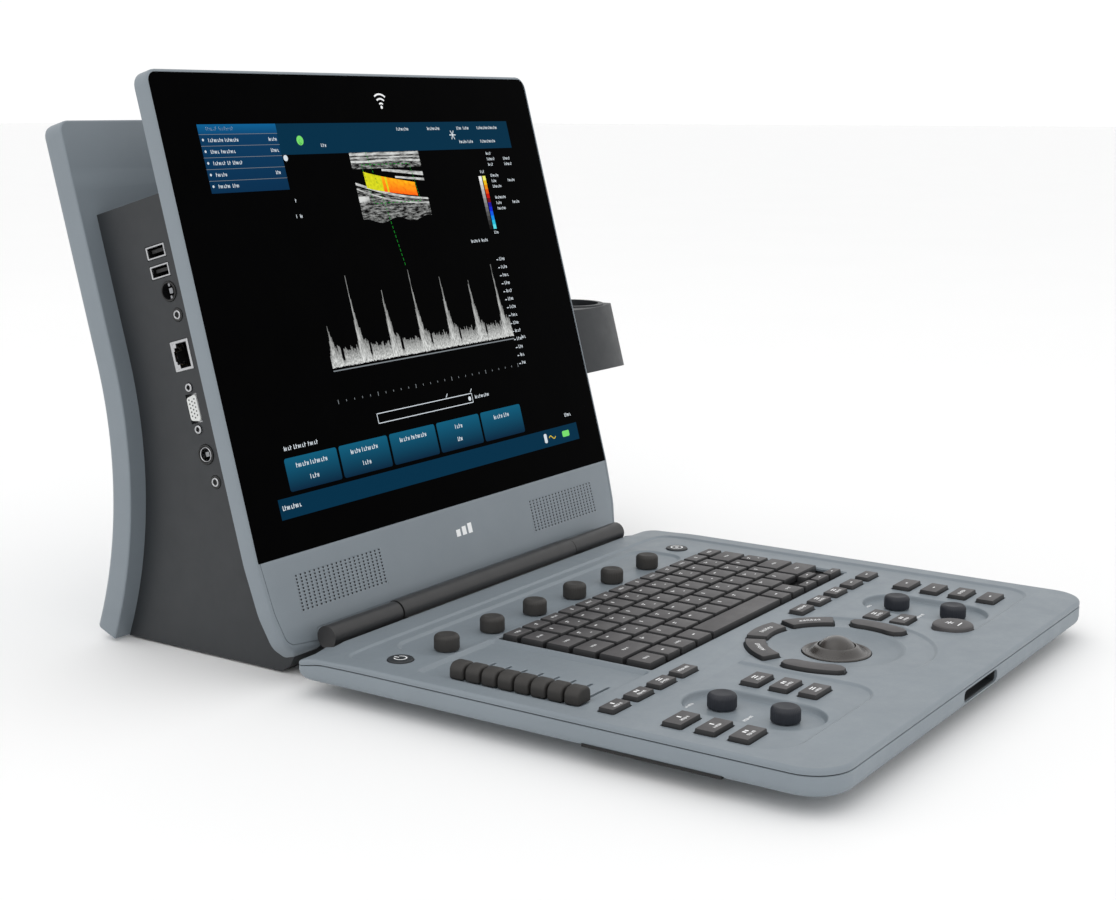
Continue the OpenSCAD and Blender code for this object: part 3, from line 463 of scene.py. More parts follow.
# Speaker grilles: a plate with rows of small round holes.
plate = Build()
COLS, ROWS, PITCH_X, PITCH_H, HOLE_R, HOLE_DEEP = 20, 11, 3.88, 2.0, 0.62, 1.3
for s in (-1, 1):
    gx, gh = s * SPEAKER_X - COLS * PITCH_X / 2, SPEAKER_H - ROWS * PITCH_H / 2
    for i in range(COLS):
        for j in range(ROWS):
            x0, h0 = gx + i * PITCH_X, gh + j * PITCH_H
            x1, h1, cx, ch = x0 + PITCH_X, h0 + PITCH_H, x0 + PITCH_X / 2, h0 + PITCH_H / 2
            turns = [math.pi / 4 * k for k in range(8)]
            ring = [(cx + HOLE_R * math.cos(a), ch + HOLE_R * math.sin(a)) for a in turns]
            cell = [(x1, ch), (x1, h1), (cx, h1), (x0, h1), (x0, ch), (x0, h0), (cx, h0), (x1, h0)]
            for k in range(8):
                t = (k + 1) % 8
                plate.quad([disp(*q, 0.0) for q in (ring[k], ring[t], cell[t], cell[k])])
                plate.quad([disp(*ring[t], 0.0), disp(*ring[k], 0.0), disp(*ring[k], HOLE_DEEP),
                            disp(*ring[t], HOLE_DEEP)], 1)
            plate.quad([disp(*q, HOLE_DEEP) for q in ring], 1)
    x0, x1, h0, h1 = gx, gx + COLS * PITCH_X, gh, gh + ROWS * PITCH_H
    corners = [(x0, h0), (x1, h0), (x1, h1), (x0, h1)]
    for k in range(4):
        a, b = corners[k], corners[(k + 1) % 4]
        plate.quad([disp(*a, 0.0), disp(*b, 0.0), disp(*b, 2), disp(*a, 2)])
    plate.quad([disp(*q, 2) for q in corners])
plate = welded(plate.make("grille_plates"), 0.00002)
settle(dress(plate, LIGHT, PAINTED_SHADE), "console", "light_shell", "speaker_grilles")


# ---------------------------------------------------------------- the picture on the display
class Picture:
    """Flat shapes just in front of the glass, in display millimetres, one mesh per material."""

    def __init__(self, depth=0.27):
        self.depth, self.sets = depth, {}

    def poly(self, m, pts, uvs=None):
        v, f, u = self.sets.setdefault(m.name, ([], [], []))
        if uvs is None:
            lo, hi = min(p[1] for p in pts), max(p[1] for p in pts)
            uvs = [(p[0] / 10, (p[1] - lo) / max(hi - lo, 1e-6)) for p in pts]
        base = len(v)
        v += [tuple(c / 1000 for c in disp(p[0], p[1], self.depth)) for p in pts]
        f.append(tuple(range(base, base + len(pts))))
        u += uvs

    def bar(self, m, x0, h0, x1, h1):
        self.poly(m, [(x0, h0), (x1, h0), (x1, h1), (x0, h1)])

    def line(self, m, a, b, w):
        d = Vector((b[0] - a[0], b[1] - a[1])).normalized() * (w / 2)
        self.poly(m, [(a[0] + d.y, a[1] - d.x), (b[0] + d.y, b[1] - d.x), (b[0] - d.y, b[1] + d.x),
                      (a[0] - d.y, a[1] + d.x)])

    def disc(self, m, x, h, r, n=16):
        turns = [2 * math.pi * k / n for k in range(n)]
        self.poly(m, [(x + r * math.cos(a), h + r * math.sin(a)) for a in turns])

    def dashes(self, m, a, b, n, on):
        """A dashed line of n dashes, each drawn over the given share of its pitch."""
        for k in range(n):
            t0, t1 = k / n, (k + on) / n
            self.line(m, (a[0] + (b[0] - a[0]) * t0, a[1] + (b[1] - a[1]) * t0),
                      (a[0] + (b[0] - a[0]) * t1, a[1] + (b[1] - a[1]) * t1), 0.5)

    def words(self, m, x, h, lengths, size=2.0):
        """A line of generic small strokes, in words of the given lengths."""
        for w in lengths:
            n = max(1, round(w / (size * 0.72)))
            for k in range(n):
                a, kind = x + w * k / n, (k * 5 + n * 3 + int(h)) % 4
                tall = size * (1.08 if kind == 1 or k == 0 else 0.8)
                self.bar(m, a, h, a + size * 0.22, h + tall)
                if kind != 3:
                    low = h + (0, size * 0.58, size * 0.3)[kind]
                    self.bar(m, a + size * 0.22, low, a + size * 0.5, low + size * 0.2)
                if kind == 2:
                    self.bar(m, a + size * 0.36, h, a + size * 0.56, h + size * 0.8)
            x += w + 1.3

    def finish(self, prefix):
        for name, (v, f, u) in self.sets.items():
            me = bpy.data.meshes.new(prefix + name)
            me.from_pydata(v, [], f)
            layer = me.uv_layers.new(name="UVMap")
            for i, loop in enumerate(me.loops):
                layer.data[i].uv = u[loop.vertex_index]
            ob = bpy.data.objects.new(prefix + name, me)
            bpy.context.scene.collection.objects.link(ob)
            me.materials.append(bpy.data.materials[name])
            settle(ob, "console", "front_glass")


NAVY = lit("ui_navy", rgb(0, 47, 72), 1.0)
ROWBLUE = lit("ui_row", rgb(8, 60, 98), 1.0, low=rgb(4, 46, 78))
ROWTOP = lit("ui_row_lit", rgb(10, 96, 148), 1.0, low=rgb(8, 72, 116))
TEAL = lit("ui_button", rgb(14, 92, 122), 1.0, low=rgb(6, 38, 62))
WHITE = lit("ui_white", rgb(214, 222, 228), 1.0)
GREY = lit("ui_grey", rgb(128, 134, 138), 1.0)
GREEN = lit("ui_green", rgb(22, 138, 40), 1.0)
LIME = lit("ui_lime", rgb(120, 220, 110), 1.0)
YELLOW = lit("ui_yellow", rgb(216, 190, 60), 1.0)
FLOW = lit("ui_flow", rgb(255, 170, 20), 1.1, mottle=0.25, low=rgb(250, 96, 16), scale=0.4)
FLOWY = lit("ui_flow_yellow", rgb(214, 214, 30), 1.0, mottle=0.2, scale=0.5)


def speckle(name, strength, stretch=(1.0, 1.0, 1.0), cut=0.45, fade=False):
    """Grey ultrasound speckle, thinning out towards the top of the patch where it fades."""
    m, p, uv = screen_point(name)
    mapped = nd(m, "Mapping", {"Vector": uv, "Scale": stretch}).outputs[0]
    n = nd(m, "TexNoise", {"Vector": mapped, "Scale": 1.0, "Detail": 8.0, "Roughness": 0.72}).outputs["Fac"]
    n = nd(m, "MapRange", {"Value": n, 1: cut, 2: cut + 0.26, 3: 0.0, 4: 1.0}).outputs[0]
    if fade:
        up = nd(m, "SeparateXYZ", {0: uv}).outputs[1]
        thin = nd(m, "MapRange", {"Value": up, 1: 0.0, 2: 1.0, 3: 1.0, 4: 0.3}).outputs[0]
        n = maths(m, "MULTIPLY", n, thin)
    link(m, maths(m, "MULTIPLY", n, strength), p.inputs["Emission Strength"])
    p.inputs["Emission Color"].default_value = rgb(214, 216, 214)
    return m


TISSUE = speckle("ui_tissue", 0.8, (1.6, 7.0, 1.0), 0.44)
LAYER = speckle("ui_layers", 1.0, (1.0, 3.0, 1.0), 0.30)
TRACE = speckle("ui_trace", 1.3, (12.0, 7.0, 1.0), 0.32, fade=True)

ui = Picture(0.27)
ui.bar(NAVY, -87, 211, 149, 230)
ui.bar(ROWBLUE, -151, 190, -86.5, 230)
ui.bar(NAVY, -154, 0, 154, 12)
for k in range(5):
    x0 = -142 + 47.3 * k
    ui.poly(TEAL, outline(rect(x0, 14.5, x0 + 45.2, 34, 1.6), 0, 4))
top = Picture(0.25)
top.bar(ROWTOP, -151, 224.2, -86.5, 230)
for k in range(1, 6):
    h = 224.0 - 6.75 * (k - 1)
    top.bar(GREY, -151, h, -86.5, h + 0.25)
    top.disc(WHITE, -148.6, h - 3.0, 0.8, 8)
rnd = random.Random(7)
for k in range(6):
    h = 226.4 - 6.7 * k
    top.words(WHITE, -144.5, h, ([9, 12], [12, 11], [7, 12], [10, 3, 8], [9], [10, 6])[k])
    if k in (1, 2, 4):
        top.words(WHITE, -95, h, [7 if k < 4 else 4])
top.disc(WHITE, -84, 209, 1.9)
for x, h, lengths in ((26, 224.6, [13]), (58, 224.6, [14]), (90, 224.6, [6, 7]), (113, 224.6, [24]),
                      (90, 215.2, [8, 6]), (114, 215.2, [17]), (-50, 215.2, [5])):
    top.words(WHITE, x, h, lengths)
for k in range(6):
    a = math.pi / 3 * k
    top.line(WHITE, (84, 221), (84 + 3.4 * math.cos(a), 221 + 3.4 * math.sin(a)), 0.7)
top.disc(LIME, -68, 219.5, 3.0)
top.disc(GREEN, -68, 218.6, 1.6)
for k, n in enumerate(([6], [9, 8], [6, 9], [], [9], [5, 8], [10], [], [12], [6, 8], [10])):
    for j, w in enumerate(n):
        top.words(WHITE, 117 + 19 * j, 206.6 - 3.86 * k, [w], 1.9)
for x, h, lengths, size in ((79, 147, [7, 2, 7], 2.0), (106, 194, [5], 2.0), (107, 151.6, [5], 2.0),
                            (-140, 38.4, [7, 11, 9], 2.4)):
    top.words(WHITE, x, h, lengths, size)
for k, w in enumerate(([11, 15], [9, 15], [10, 3, 11], [8], [10, 6])):
    cx = -119.4 + 47.3 * k
    span = sum(w) + 1.3 * (len(w) - 1)
    top.words(WHITE, cx - span / 2, 27.6, w, 2.6)
    if k in (0, 1, 3):
        top.words(WHITE, cx - 4, 19.4, [8 if k < 3 else 5], 2.6)
top.words(WHITE, -151.5, 5.2, [16], 2.6)
top.words(WHITE, 142, 17.6, [8], 2.4)
top.poly(WHITE, outline(rect(112.2, 3, 115.6, 9.4, 1), 0, 3))
for k in range(8):
    x = 118 + k
    top.line(YELLOW, (x, 6 + 1.2 * math.sin(k * 0.8)), (x + 1, 6 + 1.2 * math.sin((k + 1) * 0.8)), 0.7)
top.poly(LIME, outline(rect(134.5, 4, 143, 8.2, 1), 0, 3))
# Progress outline with its thumb.
for a, b in (((-54, 48), (43, 48)), ((43, 48), (43, 42)), ((43, 42), (-54, 42)), ((-54, 42), (-54, 48))):
    top.line(WHITE, a, b, 0.5)
top.disc(WHITE, 40, 44.8, 1.5)
top.words(WHITE, 46, 44, [16], 2.2)
top.line(WHITE, (16, 48.8), (18, 51), 0.6)
top.line(WHITE, (42, 48.8), (44, 51), 0.6)
# Scales.
for k in range(14):
    h = 133.6 - 5.6 * k
    top.line(WHITE, (102.5, h), (104.5, h), 0.6)
    top.words(WHITE, 106, h - 0.7, [7 if k < 11 else 5], 2.2)
top.words(WHITE, 112, 77.6, [5], 2.2)
for k in range(26):
    x = -86 + 7.45 * k
    tall = 2.6 if k % 5 == 0 else 1.2
    top.bar(GREY, x, 60 - tall / 2, x + 0.5, 60 + tall / 2)
top.line(GREY, (-84, 78.5), (103, 78.5), 0.7)
top.words(WHITE, -84, 182, [2])
top.words(WHITE, -86, 172.5, [2, 3])
# Colour scale.
for k in range(12):
    h = 155 + 37 * k / 12
    t = k / 11
    tone = ((90, 220, 230), (40, 190, 220), (20, 140, 230), (16, 90, 230), (20, 40, 210), (30, 20, 150),
            (120, 10, 20), (200, 20, 10), (230, 80, 10), (236, 140, 16), (238, 190, 30), (240, 240, 110))[k]
    top.bar(lit("ui_scale_%d" % k, rgb(*tone), 1.0), 107.2, h, 110.6, h + 37 / 12)
    g = int(28 + 210 * t)
    top.bar(lit("ui_scale_grey_%d" % k, rgb(g, g, g), 1.0), 102.8, h, 106.2, h + 37 / 12)


def wave(x, low, high, x0=-26, x1=43, sag=0.0, bend=0.0):
    t = (x - x0) / (x1 - x0)
    return low + (high - low) * t + sag * math.sin(math.pi * t) + bend * math.sin(2.2 * math.pi * t)


def band(pic, m, lo, hi, x0=-26, x1=43, n=24, k=1.0):
    """A curved layer between two height functions."""
    for i in range(n):
        a, b = x0 + (x1 - x0) * i / n, x0 + (x1 - x0) * (i + 1) / n
        pts = [(a, lo(a)), (b, lo(b)), (b, hi(b)), (a, hi(a))]
        pic.poly(m, pts, [(p[0] / 10 * k, p[1] / 10 * k) for p in pts])


ui2 = Picture(0.26)
band(ui2, TISSUE, lambda x: 200.5, lambda x: 211)
band(ui2, TISSUE, lambda x: 167 + 1.5 * math.sin(x / 5), lambda x: wave(x, 189, 178, sag=-1.5))
band(top, LAYER, lambda x: 209.0, lambda x: 210.6)
band(top, LAYER, lambda x: 207.0, lambda x: 208.0)
band(top, LAYER, lambda x: 204.6 + 0.4 * math.sin(x / 9), lambda x: 206.0 + 0.4 * math.sin(x / 9), n=20)
band(top, LAYER, lambda x: wave(x, 201.5, 194.6), lambda x: wave(x, 202.1, 197.2), x0=2)
band(top, LAYER, lambda x: wave(x, 197.4, 191.2), lambda x: wave(x, 198.1, 192.8), x0=14)
band(top, LAYER, lambda x: wave(x, 190.4, 178.6, sag=-2.2), lambda x: wave(x, 192.0, 179.8, sag=-2.0))
band(top, LAYER, lambda x: wave(x, 187.4, 176.2, sag=-3.0), lambda x: wave(x, 188.2, 177.0, sag=-2.8))
band(top, LAYER, lambda x: 180.6 + 0.06 * x, lambda x: 183.0, x1=-16, n=8)
low_side = lambda x: 188 - 6.6 * ((x + 15) / 48) ** 0.75 if x > -15 else 188
up_side = lambda x: 199 - 8.4 * ((x + 17) / 48) ** 0.8 if x > -17 else 199
ui3 = Picture(0.24)
for i in range(30):
    a, b = -16.5 + 49 * i / 30, -16.5 + 49 * (i + 1) / 30
    tone = FLOWY if (i < 9 or (i < 15 and i % 3 == 0)) else FLOW
    ui3.poly(tone, [(a + 0.6, low_side(a)), (b + 0.6, low_side(b)), (b, up_side(b)), (a, up_side(a))],
             [(a / 10, 0.0), (b / 10, 0.0), (b / 10, 1.0), (a / 10, 1.0)])
gate = [(-17, 203), (31, 203), (35, 178), (-12, 178), (-17, 203)]
for a, b in zip(gate, gate[1:]):
    ui3.dashes(GREEN, a, b, 12, 0.55)
for a, b in (((-10, 211), (-2, 178)), ((-2, 178), (5, 136))):
    ui3.dashes(GREEN, a, b, 14, 0.6)
# Doppler trace: narrow peaks that die away, over a band of noise.
beats = [-82, -55.5, -25, 5.2, 35.4, 64.8, 93.8]


def crest(x):
    h = 90.0 + 2.0 * math.sin(x * 1.7) * math.sin(x * 0.61) + rnd.uniform(-1.2, 1.2)
    for i, b in enumerate(beats):
        d = x - b
        tall = 12 if i == 0 else 34
        if -1.6 < d <= 0:
            h = max(h, 86 + tall * (1 + d / 1.6))
        elif 0 < d < 26:
            tail = (14 if i else 12) * math.exp(-d / 7.5) * (0.8 + rnd.uniform(0, 0.35))
            h = max(h, 88 + (tall - 2) * math.exp(-d / 1.5) + tail)
            if 3.5 < d < 5.5:
                h -= 3
            if 8.5 < d < 10.5:
                h -= 7
    return max(h, 83)


x = -84.0
while x < 103:
    w = 0.62
    t = crest(x)
    foot = 80.4 + rnd.uniform(-0.3, 0.5)
    ui3.poly(TRACE, [(x, foot), (x + w, foot), (x + w, t), (x, t)],
             [(x / 10, 0.0), ((x + w) / 10, 0.0), ((x + w) / 10, 1.0), (x / 10, 1.0)])
    x += w
ui.finish("picture_")
ui2.finish("picture_b_")
top.finish("picture_c_")
ui3.finish("picture_d_")


def strip(out, to3, a, b, r0, r1, z, turns):
    """A flat curved band round (a, b), through the given angles."""
    for t0, t1 in zip(turns, turns[1:]):
        out.quad([to3(a + r * math.cos(t), b + r * math.sin(t), z) for r, t in
                  ((r0, t0), (r1, t0), (r1, t1), (r0, t1))])


# Generic mark above the picture: three sound arcs.
mark = Build()
for r in (3.0, 6.0, 9.0):
    strip(mark, disp, 16, 239.5, r - 0.55, r + 0.55, 0.26, [math.radians(a) for a in range(52, 129, 8)])
dot = [2 * math.pi * k / 12 for k in range(12)]
mark.quad([disp(16 + 1.1 * math.cos(a), 240 + 1.1 * math.sin(a), 0.26) for a in dot])
settle(dress(mark.make("maker_mark"), PRINT), "console", "front_glass")
bars = Build()
for k in range(3):
    x = -4 + 6.2 * k
    bars.quad([disp(x, -40, -0.02), disp(x + 4.2, -40, -0.02), disp(x + 4.2, -35.5 + k, -0.02),
               disp(x, -35.5 + k, -0.02)])
settle(dress(bars.make("chin_mark"), PRINT), "console", "light_shell")

# ---------------------------------------------------------------- back cover
BEND = 275.0
WAIST = (43.5 + BEND, 105.0)
BASE_Z, COVER_T, COVER_TOP_H = 1.2, 17, 256.5
BEND_Y, BEND_Z = WAIST[0] - BEND * math.cos(TILT), WAIST[1] + BEND * math.sin(TILT)
END_H = (BEND_Y - FACE_Y) * math.sin(TILT) + (BEND_Z - FACE_Z) * math.cos(TILT)
S0 = -BEND * math.asin((WAIST[1] - BASE_Z) / BEND)
S_END = BEND * TILT
S1 = S_END + COVER_TOP_H - END_H


def cover(x, s, d):
    """A point of the back cover: across, along its length, behind its front face."""
    a, u, r = min(s / BEND, TILT), max(s - S_END, 0), BEND - d
    return (x, WAIST[0] - r * math.cos(a) + u * math.sin(a), WAIST[1] + r * math.sin(a) + u * math.cos(a))


def curved(half, s0, s1, r_low, r_high, section, rows=44, seg=5):
    """Symmetric sheet bent along the cover's length, as paired left and right points."""
    out = Build()
    rings = []
    for inset, level in section:
        side = []
        lo, hi = s0 + inset, s1 - inset
        rl, rh = max(r_low - inset, 0.05), max(r_high - inset, 0.05)
        w = half - inset
        for k in range(seg + 1):
            a = math.pi / 2 * k / seg
            side.append((w - rl + rl * math.sin(a), lo + rl - rl * math.cos(a)))
        for k in range(1, rows):
            side.append((w, lo + rl + (hi - rh - lo - rl) * k / rows))
        for k in range(seg + 1):
            a = math.pi / 2 * k / seg
            side.append((w - rh + rh * math.cos(a), hi - rh + rh * math.sin(a)))
        ring = [cover(x, s, level) for x, s in side] + [cover(-x, s, level) for x, s in reversed(side)]
        rings.append(ring)
    out.loft(rings, caps=(False, False))
    n = len(rings[0])
    for ring_at in (0, len(rings) - 1):
        base = ring_at * n
        for k in range(n // 2 - 1):
            out.f.append((base + k, base + k + 1, base + n - 2 - k, base + n - 1 - k))
            out.m.append(0)
    return out


shell = curved(170, S0, S1, 2.0, 7.0, edge(0, COVER_T, 1.2, 4.0, 4)).make("back_cover")
inner = curved(138, S0 + 12, S_END + 191 - END_H, 3, 3, [(0, -3), (0, 14)]).make("c8")


def rear(a, b, y):
    """A point of the rear wall: across, up, and its depth."""
    return (a, y, b)


boss = Build().slab(rect(-118, 30, -72, 66, 2), [(0, 40), (0, 66)], rear).make("boss")
ring_cut = curved(171, S0 - 3, S1 + 3, 1, 1, [(0, 1), (0, 16)]).make("c9")
carve(shell, inner)
carve(boss, ring_cut, how="INTERSECT")
carve(shell, boss, how="UNION")
lips = [(-3.0, 85), (-2.4, 90.5), (-0.9, 91.9), (0, 94.3), (0, 104), (-0.9, 106.1), (-3, 107.8), (-3.2, 111)]
grip = Build().slab(rect(-63, 219, 63, 245, 12.9), lips, disp, 8).make("c10")
slots = Build()
for i in range(7):
    z = 105 + 8 * (i - 3)
    slots.slab(rect(59, z - 2, 111, z + 2, 1.9), [(0, 50), (0, 80)], rear, 5)
mouth = Build().slab(rect(-114, 34, -76, 62, 2), [(0, 60), (0, 100)], rear, 4).make("c12")
throat = Build().slab(rect(-109.2, 37.8, -80.8, 58.2, 0.5), [(0, 30), (0, 70)], rear, 4).make("c13")
wells = Build()
for sx in (-1, 1):
    for z in (25, 185):
        wells.lathe(sx * 150.5, z, [(1.8, -10), (1.8, 66), (3.8, 66), (3.8, 96)], rear, 28)
carve(shell, grip, slots.make("c11"), mouth, throat, wells.make("c14"))
settle(dress(weighted(shell), LIGHT), "console", "light_shell", "rear_cover")

# ---------------------------------------------------------------- the deck's shells
deck_line = [(-183, -329, 22), (183, -329, 22), (183, -3, 4), (158, -3, 1.5), (158, -8.5, 0.6),
             (-158, -8.5, 0.6), (-158, -3, 1.5), (-183, -3, 4)]


def pinch(ob):
    """Rolls the deck's two rear corners down to a thin rounded nose beside the barrel."""
    bm = bmesh.new()
    bm.from_mesh(ob.data)
    for b in (-50, -42, -34, -27, -21, -16, -12, -9):
        bmesh.ops.bisect_plane(bm, geom=bm.verts[:] + bm.edges[:] + bm.faces[:], dist=0.00001,
                               plane_co=(0, (AXIS_Y + b) / 1000, 0), plane_no=(0, 1, 0))
    for x in (-176, -168, -160, -150, 150, 160, 168, 176):
        near = [f for f in bm.faces if f.calc_center_median().y * 1000 - AXIS_Y > -52]
        geom = list({v for f in near for v in f.verts}) + list({e for f in near for e in f.edges}) + near
        bmesh.ops.bisect_plane(bm, geom=geom, dist=0.00001, plane_co=(x / 1000, 0, 0), plane_no=(1, 0, 0))
    for v in bm.verts:
        x, z = abs(v.co.x * 1000), v.co.z * 1000
        far = AXIS_Y - v.co.y * 1000
        k = ease((x - 142) / 30)
        top = 24.8 - 1.1 * ease((50 - far) / 32) - 3.4 * max(0.0, (20 - far) / 17) ** 2
        seam = 21.5 - 0.3 * ease((50 - far) / 26) - 2.9 * ease((24 - far) / 22)
        low = 10 + 8 * (1 - math.sqrt(max(0.0, 1 - min(1.0, max(0.0, (12 - far) / 9)) ** 2)))
        if z > 21.3:
            new = seam + (z - 21.5) / 3.3 * (top - seam)
        else:
            new = low + (z - 10) / 11.5 * (seam - low)
        v.co.z = (z + (new - z) * k) / 1000
    bm.to_mesh(ob.data)
    bm.free()
    smooth(ob)
    return ob


def cuts_on(corner_sets, section, name, seg=8):
    out = Build()
    for c in corner_sets:
        out.slab(c, section, deck, seg)
    return out.make(name)


def rows_of(line):
    """Adds points along the two long sides, so that they can bend."""
    out = []
    for i, c in enumerate(line):
        out.append(c)
        d = line[(i + 1) % len(line)]
        if abs(d[0] - c[0]) < 1 and abs(d[1] - c[1]) > 200:
            rows = (-50, -42, -34, -27, -21, -18, -15, -12.5, -10.5, -8.8)
            out += [(c[0], b, 0) for b in (rows if c[1] < d[1] else rows[::-1])]
    return out


BALL_B = -244
lid = Build().slab(rows_of(deck_line), edge(21.5, 24.8, 0.35, 1.7, 5), deck, 10).make("deck_top")
DECK_TOP, FIELD = 24.8, 23.6
a_field = cuts_on([rect(-172, -214, 172, -26, 10)], soft(FIELD, DECK_TOP, 2.4), "c20")
b_field = [rect(-172, -299, -56, -150, 20), rect(56, -299, 172, -150, 20)]
b_field = cuts_on(b_field, soft(FIELD + 0.007, DECK_TOP, 2.4), "c21")
ring_field = [(56 - i, z) for i, z in soft(FIELD + 0.013, DECK_TOP, 2.4)]
ring_field = Build().lathe(0, BALL_B, ring_field, deck, 96).make("c22")
channel = cuts_on([rect(-143, -74, 130, -34, 15)], soft(22.2, FIELD, 3.2), "c23")
board_cut = cuts_on([rect(-95.2, -180.5, 152.2, -75, 2)], soft(22.9, FIELD, 0.8), "c24")
tray = [(2.8, 21.5), (2.4, 21.6), (0.9, 23.1), (0.4, 23.5), (0, FIELD + 0.01), (0, 28)]
tray = cuts_on([rect(-167.6, -181, -96.5, -74, 4)], tray, "c25")
WELL = [(2.9, 20.5), (2.1, 20.7), (1.4, 21.5), (1.1, 22.6), (0.6, 23.3), (0, FIELD + 0.01), (0, 28)]
well_cuts = cuts_on([rect(x - 21.5, -272.6 - 21.5, x + 21.5, -236.5 + 21.5, 21.4) for x in (-119.5, 101)],
                    WELL, "c26", 14)
bowl = [(20.5, 20.5), (28, 20.55), (32.4, 20.9), (34.8, 21.6), (36.4, 22.6), (37.5, 23.3),
        (38.5, FIELD + 0.01), (38.5, 28)]
bowl = Build().lathe(0, BALL_B, bowl, deck, 96).make("c27")
floor_pads = Build()
for x in (-119.5, 101):
    floor_pads.slab(rect(x - 22, -294.6, x + 22, -214.5, 21.9), edge(18.5, 22.3), deck, 14)
floor_pads.slab(rect(-169, -183, -95, -73, 4), edge(19.5, 22.3), deck, 6)
floor_pads.lathe(0, BALL_B, [(36.6, 18.5), (36.6, 22.4)], deck, 64)
carve(lid, floor_pads.make("u1"), how="UNION")
carve(lid, a_field, b_field, ring_field, channel, board_cut, tray, well_cuts, bowl)

G = 0.3
THROUGH = [(0, 10), (0, 40)]
key_holes = Build()
row_boxes = [(-167 + 23 * i, -149 + 23 * i, 191, 201) for i in range(4)] + \
            [(44 + 23.3 * i, 62 + 23.3 * i, 191, 201) for i in range(5)]
side_boxes = [(-167, -146, 228 + 18.5 * i, 240 + 18.5 * i) for i in range(3)] + \
             [(-90, -70, 230 + 16.8 * i, 241.5 + 16.8 * i) for i in range(3)] + \
             [(56, 76, 233 + 17 * i, 244 + 17 * i) for i in range(2)] + \
             [(130, 151, 220 + 18.3 * i, 232 + 18.3 * i) for i in range(4)]
for x0, x1, v0, v1 in row_boxes + side_boxes:
    key_holes.slab(rect(x0 - G, -v1 - G, x1 + G, -v0 + G, 1.4), THROUGH, deck, 4)
key_holes.slab(rect(-94, -178.9, 151, -76.2, 1.6), THROUGH, deck, 4)
for x in (-156.5, 143.5):
    key_holes.lathe(x, -56, [(7.7, 10), (7.7, 40)], deck, 40)
key_holes.lathe(69.5, -285, [(12.3, 10), (12.3, 40)], deck, 48)
menu_x = [-124 + 43.3 * i for i in range(6)]
gain_at = [(-119.5, 236.5), (-119.5, 272.6), (101, 236.5), (101, 272.6)]
for x, v in [(x, 63) for x in menu_x] + gain_at:
    key_holes.lathe(x, -v, [(4.8, 10), (4.8, 40)], deck, 32)
slider_v = [99 + 10.55 * i for i in range(8)]
for v in slider_v:
    key_holes.slab(rect(-159.5, -v - 0.9, -126.5, -v + 0.9, 0.85), THROUGH, deck, 4)


def around(r, a):
    """A point round the ball."""
    return (r * math.cos(a), r * math.sin(a) + BALL_B)


def ring_piece(a0, a1, r0, r1, section, n=12, corner=1.2):
    """Loops of a piece of a ring round the ball, between two angles, with rounded corners."""
    loops = []
    for inset, z in section:
        ri, ro = r0 + inset, r1 - inset
        c = max(corner - inset * 0.5, 0.3)
        ai, bi = math.radians(a0) + inset / ri, math.radians(a1) - inset / ri
        ao, bo = math.radians(a0) + inset / ro, math.radians(a1) - inset / ro
        pts = [around(ro, ao + c / ro + (bo - ao - 2 * c / ro) * k / n) for k in range(n + 1)]
        pts += [around(ro - c * 0.3, bo - c * 0.3 / ro), around(ro - c, bo), around(ri + c, bi),
                around(ri + c * 0.3, bi - c * 0.3 / ri)]
        pts += [around(ri, bi - c / ri - (bi - ai - 2 * c / ri) * k / n) for k in range(n + 1)]
        pts += [around(ri + c * 0.3, ai + c * 0.3 / ri), around(ri + c, ai), around(ro - c, ao),
                around(ro - c * 0.3, ao + c * 0.3 / ro)]
        loops.append([deck(a, b, z) for a, b in pts])
    return loops


arcs = [(27, 65), (71, 108), (114, 155)]
longs = [(-30, 16), (166, 212)]
for a0, a1 in arcs:
    key_holes.loft(ring_piece(a0, a1, 39, 52, [(-G, 10), (-G, 40)]))
for a0, a1 in longs:
    key_holes.loft(ring_piece(a0, a1, 39, 52, [(-G, 10), (-G, 40)], corner=5.5))
key_holes.lathe(0, BALL_B, [(19.9, 10), (19.9, 40)], deck, 64)
carve(lid, key_holes.make("c28"))
pinch(lid)
settle(dress(weighted(lid), LIGHT), "deck", "light_shell", "deck_top_shell")

tub = Build()
tub_wall = [(4.2, 10), (2.6, 10.35), (1.1, 11.4), (0.35, 12.8), (0, 14.6), (0, 20.6), (0.35, 20.95),
            (3, 20.95), (3, 12.5)]
tub.slab(rows_of(deck_line), tub_wall, deck, 10)
tub = tub.make("deck_tub")


def front(a, b, d):
    """A point of the deck's front edge: across, up, and how far in."""
    return deck(a, -329 + d, b)


notch = [(-0.6, -60), (-0.5, -1.2), (0, 0), (0, 6.5)]
notch = Build().slab(rect(-24, 13, 24, 20, 3.2), notch, front, 6).make("c30")
backing = Build().slab(rect(-27, -326.5, 27, -320, 1), [(0, 11.5), (0, 21.2)], deck, 3).make("u2")
scoops = Build()
for s in (-1, 1):
    x0, x1 = sorted((s * 185, s * 173))
    scoops.slab(rect(x0, -272, x1, -191, 3), [(0, 9), (0, 11.7)], deck, 5)
carve(tub, backing, how="UNION")
carve(tub, notch, scoops.make("c31"))
pinch(tub)
# A near-black band just inside the seam between the deck's shells: painted seam shadow.
shade = [(1.0, 20.2), (1.0, 22.2), (2.6, 22.2), (2.6, 20.2)]
shade = Build().slab(rows_of(deck_line), shade, deck, 10, closed=True)
settle(dress(pinch(shade.make("seam_shadow")), PAINTED_SHADE), "deck", "black_plastic")
# Painted shade: a dark sheet lining the inside of the front finger notch, whose real inside is the light
# shell.
notch_shade = [(0.6, 6.0), (0.6, 1.4), (0.05, 1.4), (0.05, 6.45)]
notch_shade = Build().slab(rect(-23.9, 13.1, 23.9, 19.9, 3.1), notch_shade, front, 6).make("notch_lining")
settle(dress(notch_shade, DARK), "deck", "dark_shell")
belly = Build().slab(rect(-144.8, -290.8, 144.8, -46.7, 2.5), edge(2.5, 11.0, 2.5, 0, 4), deck, 8)
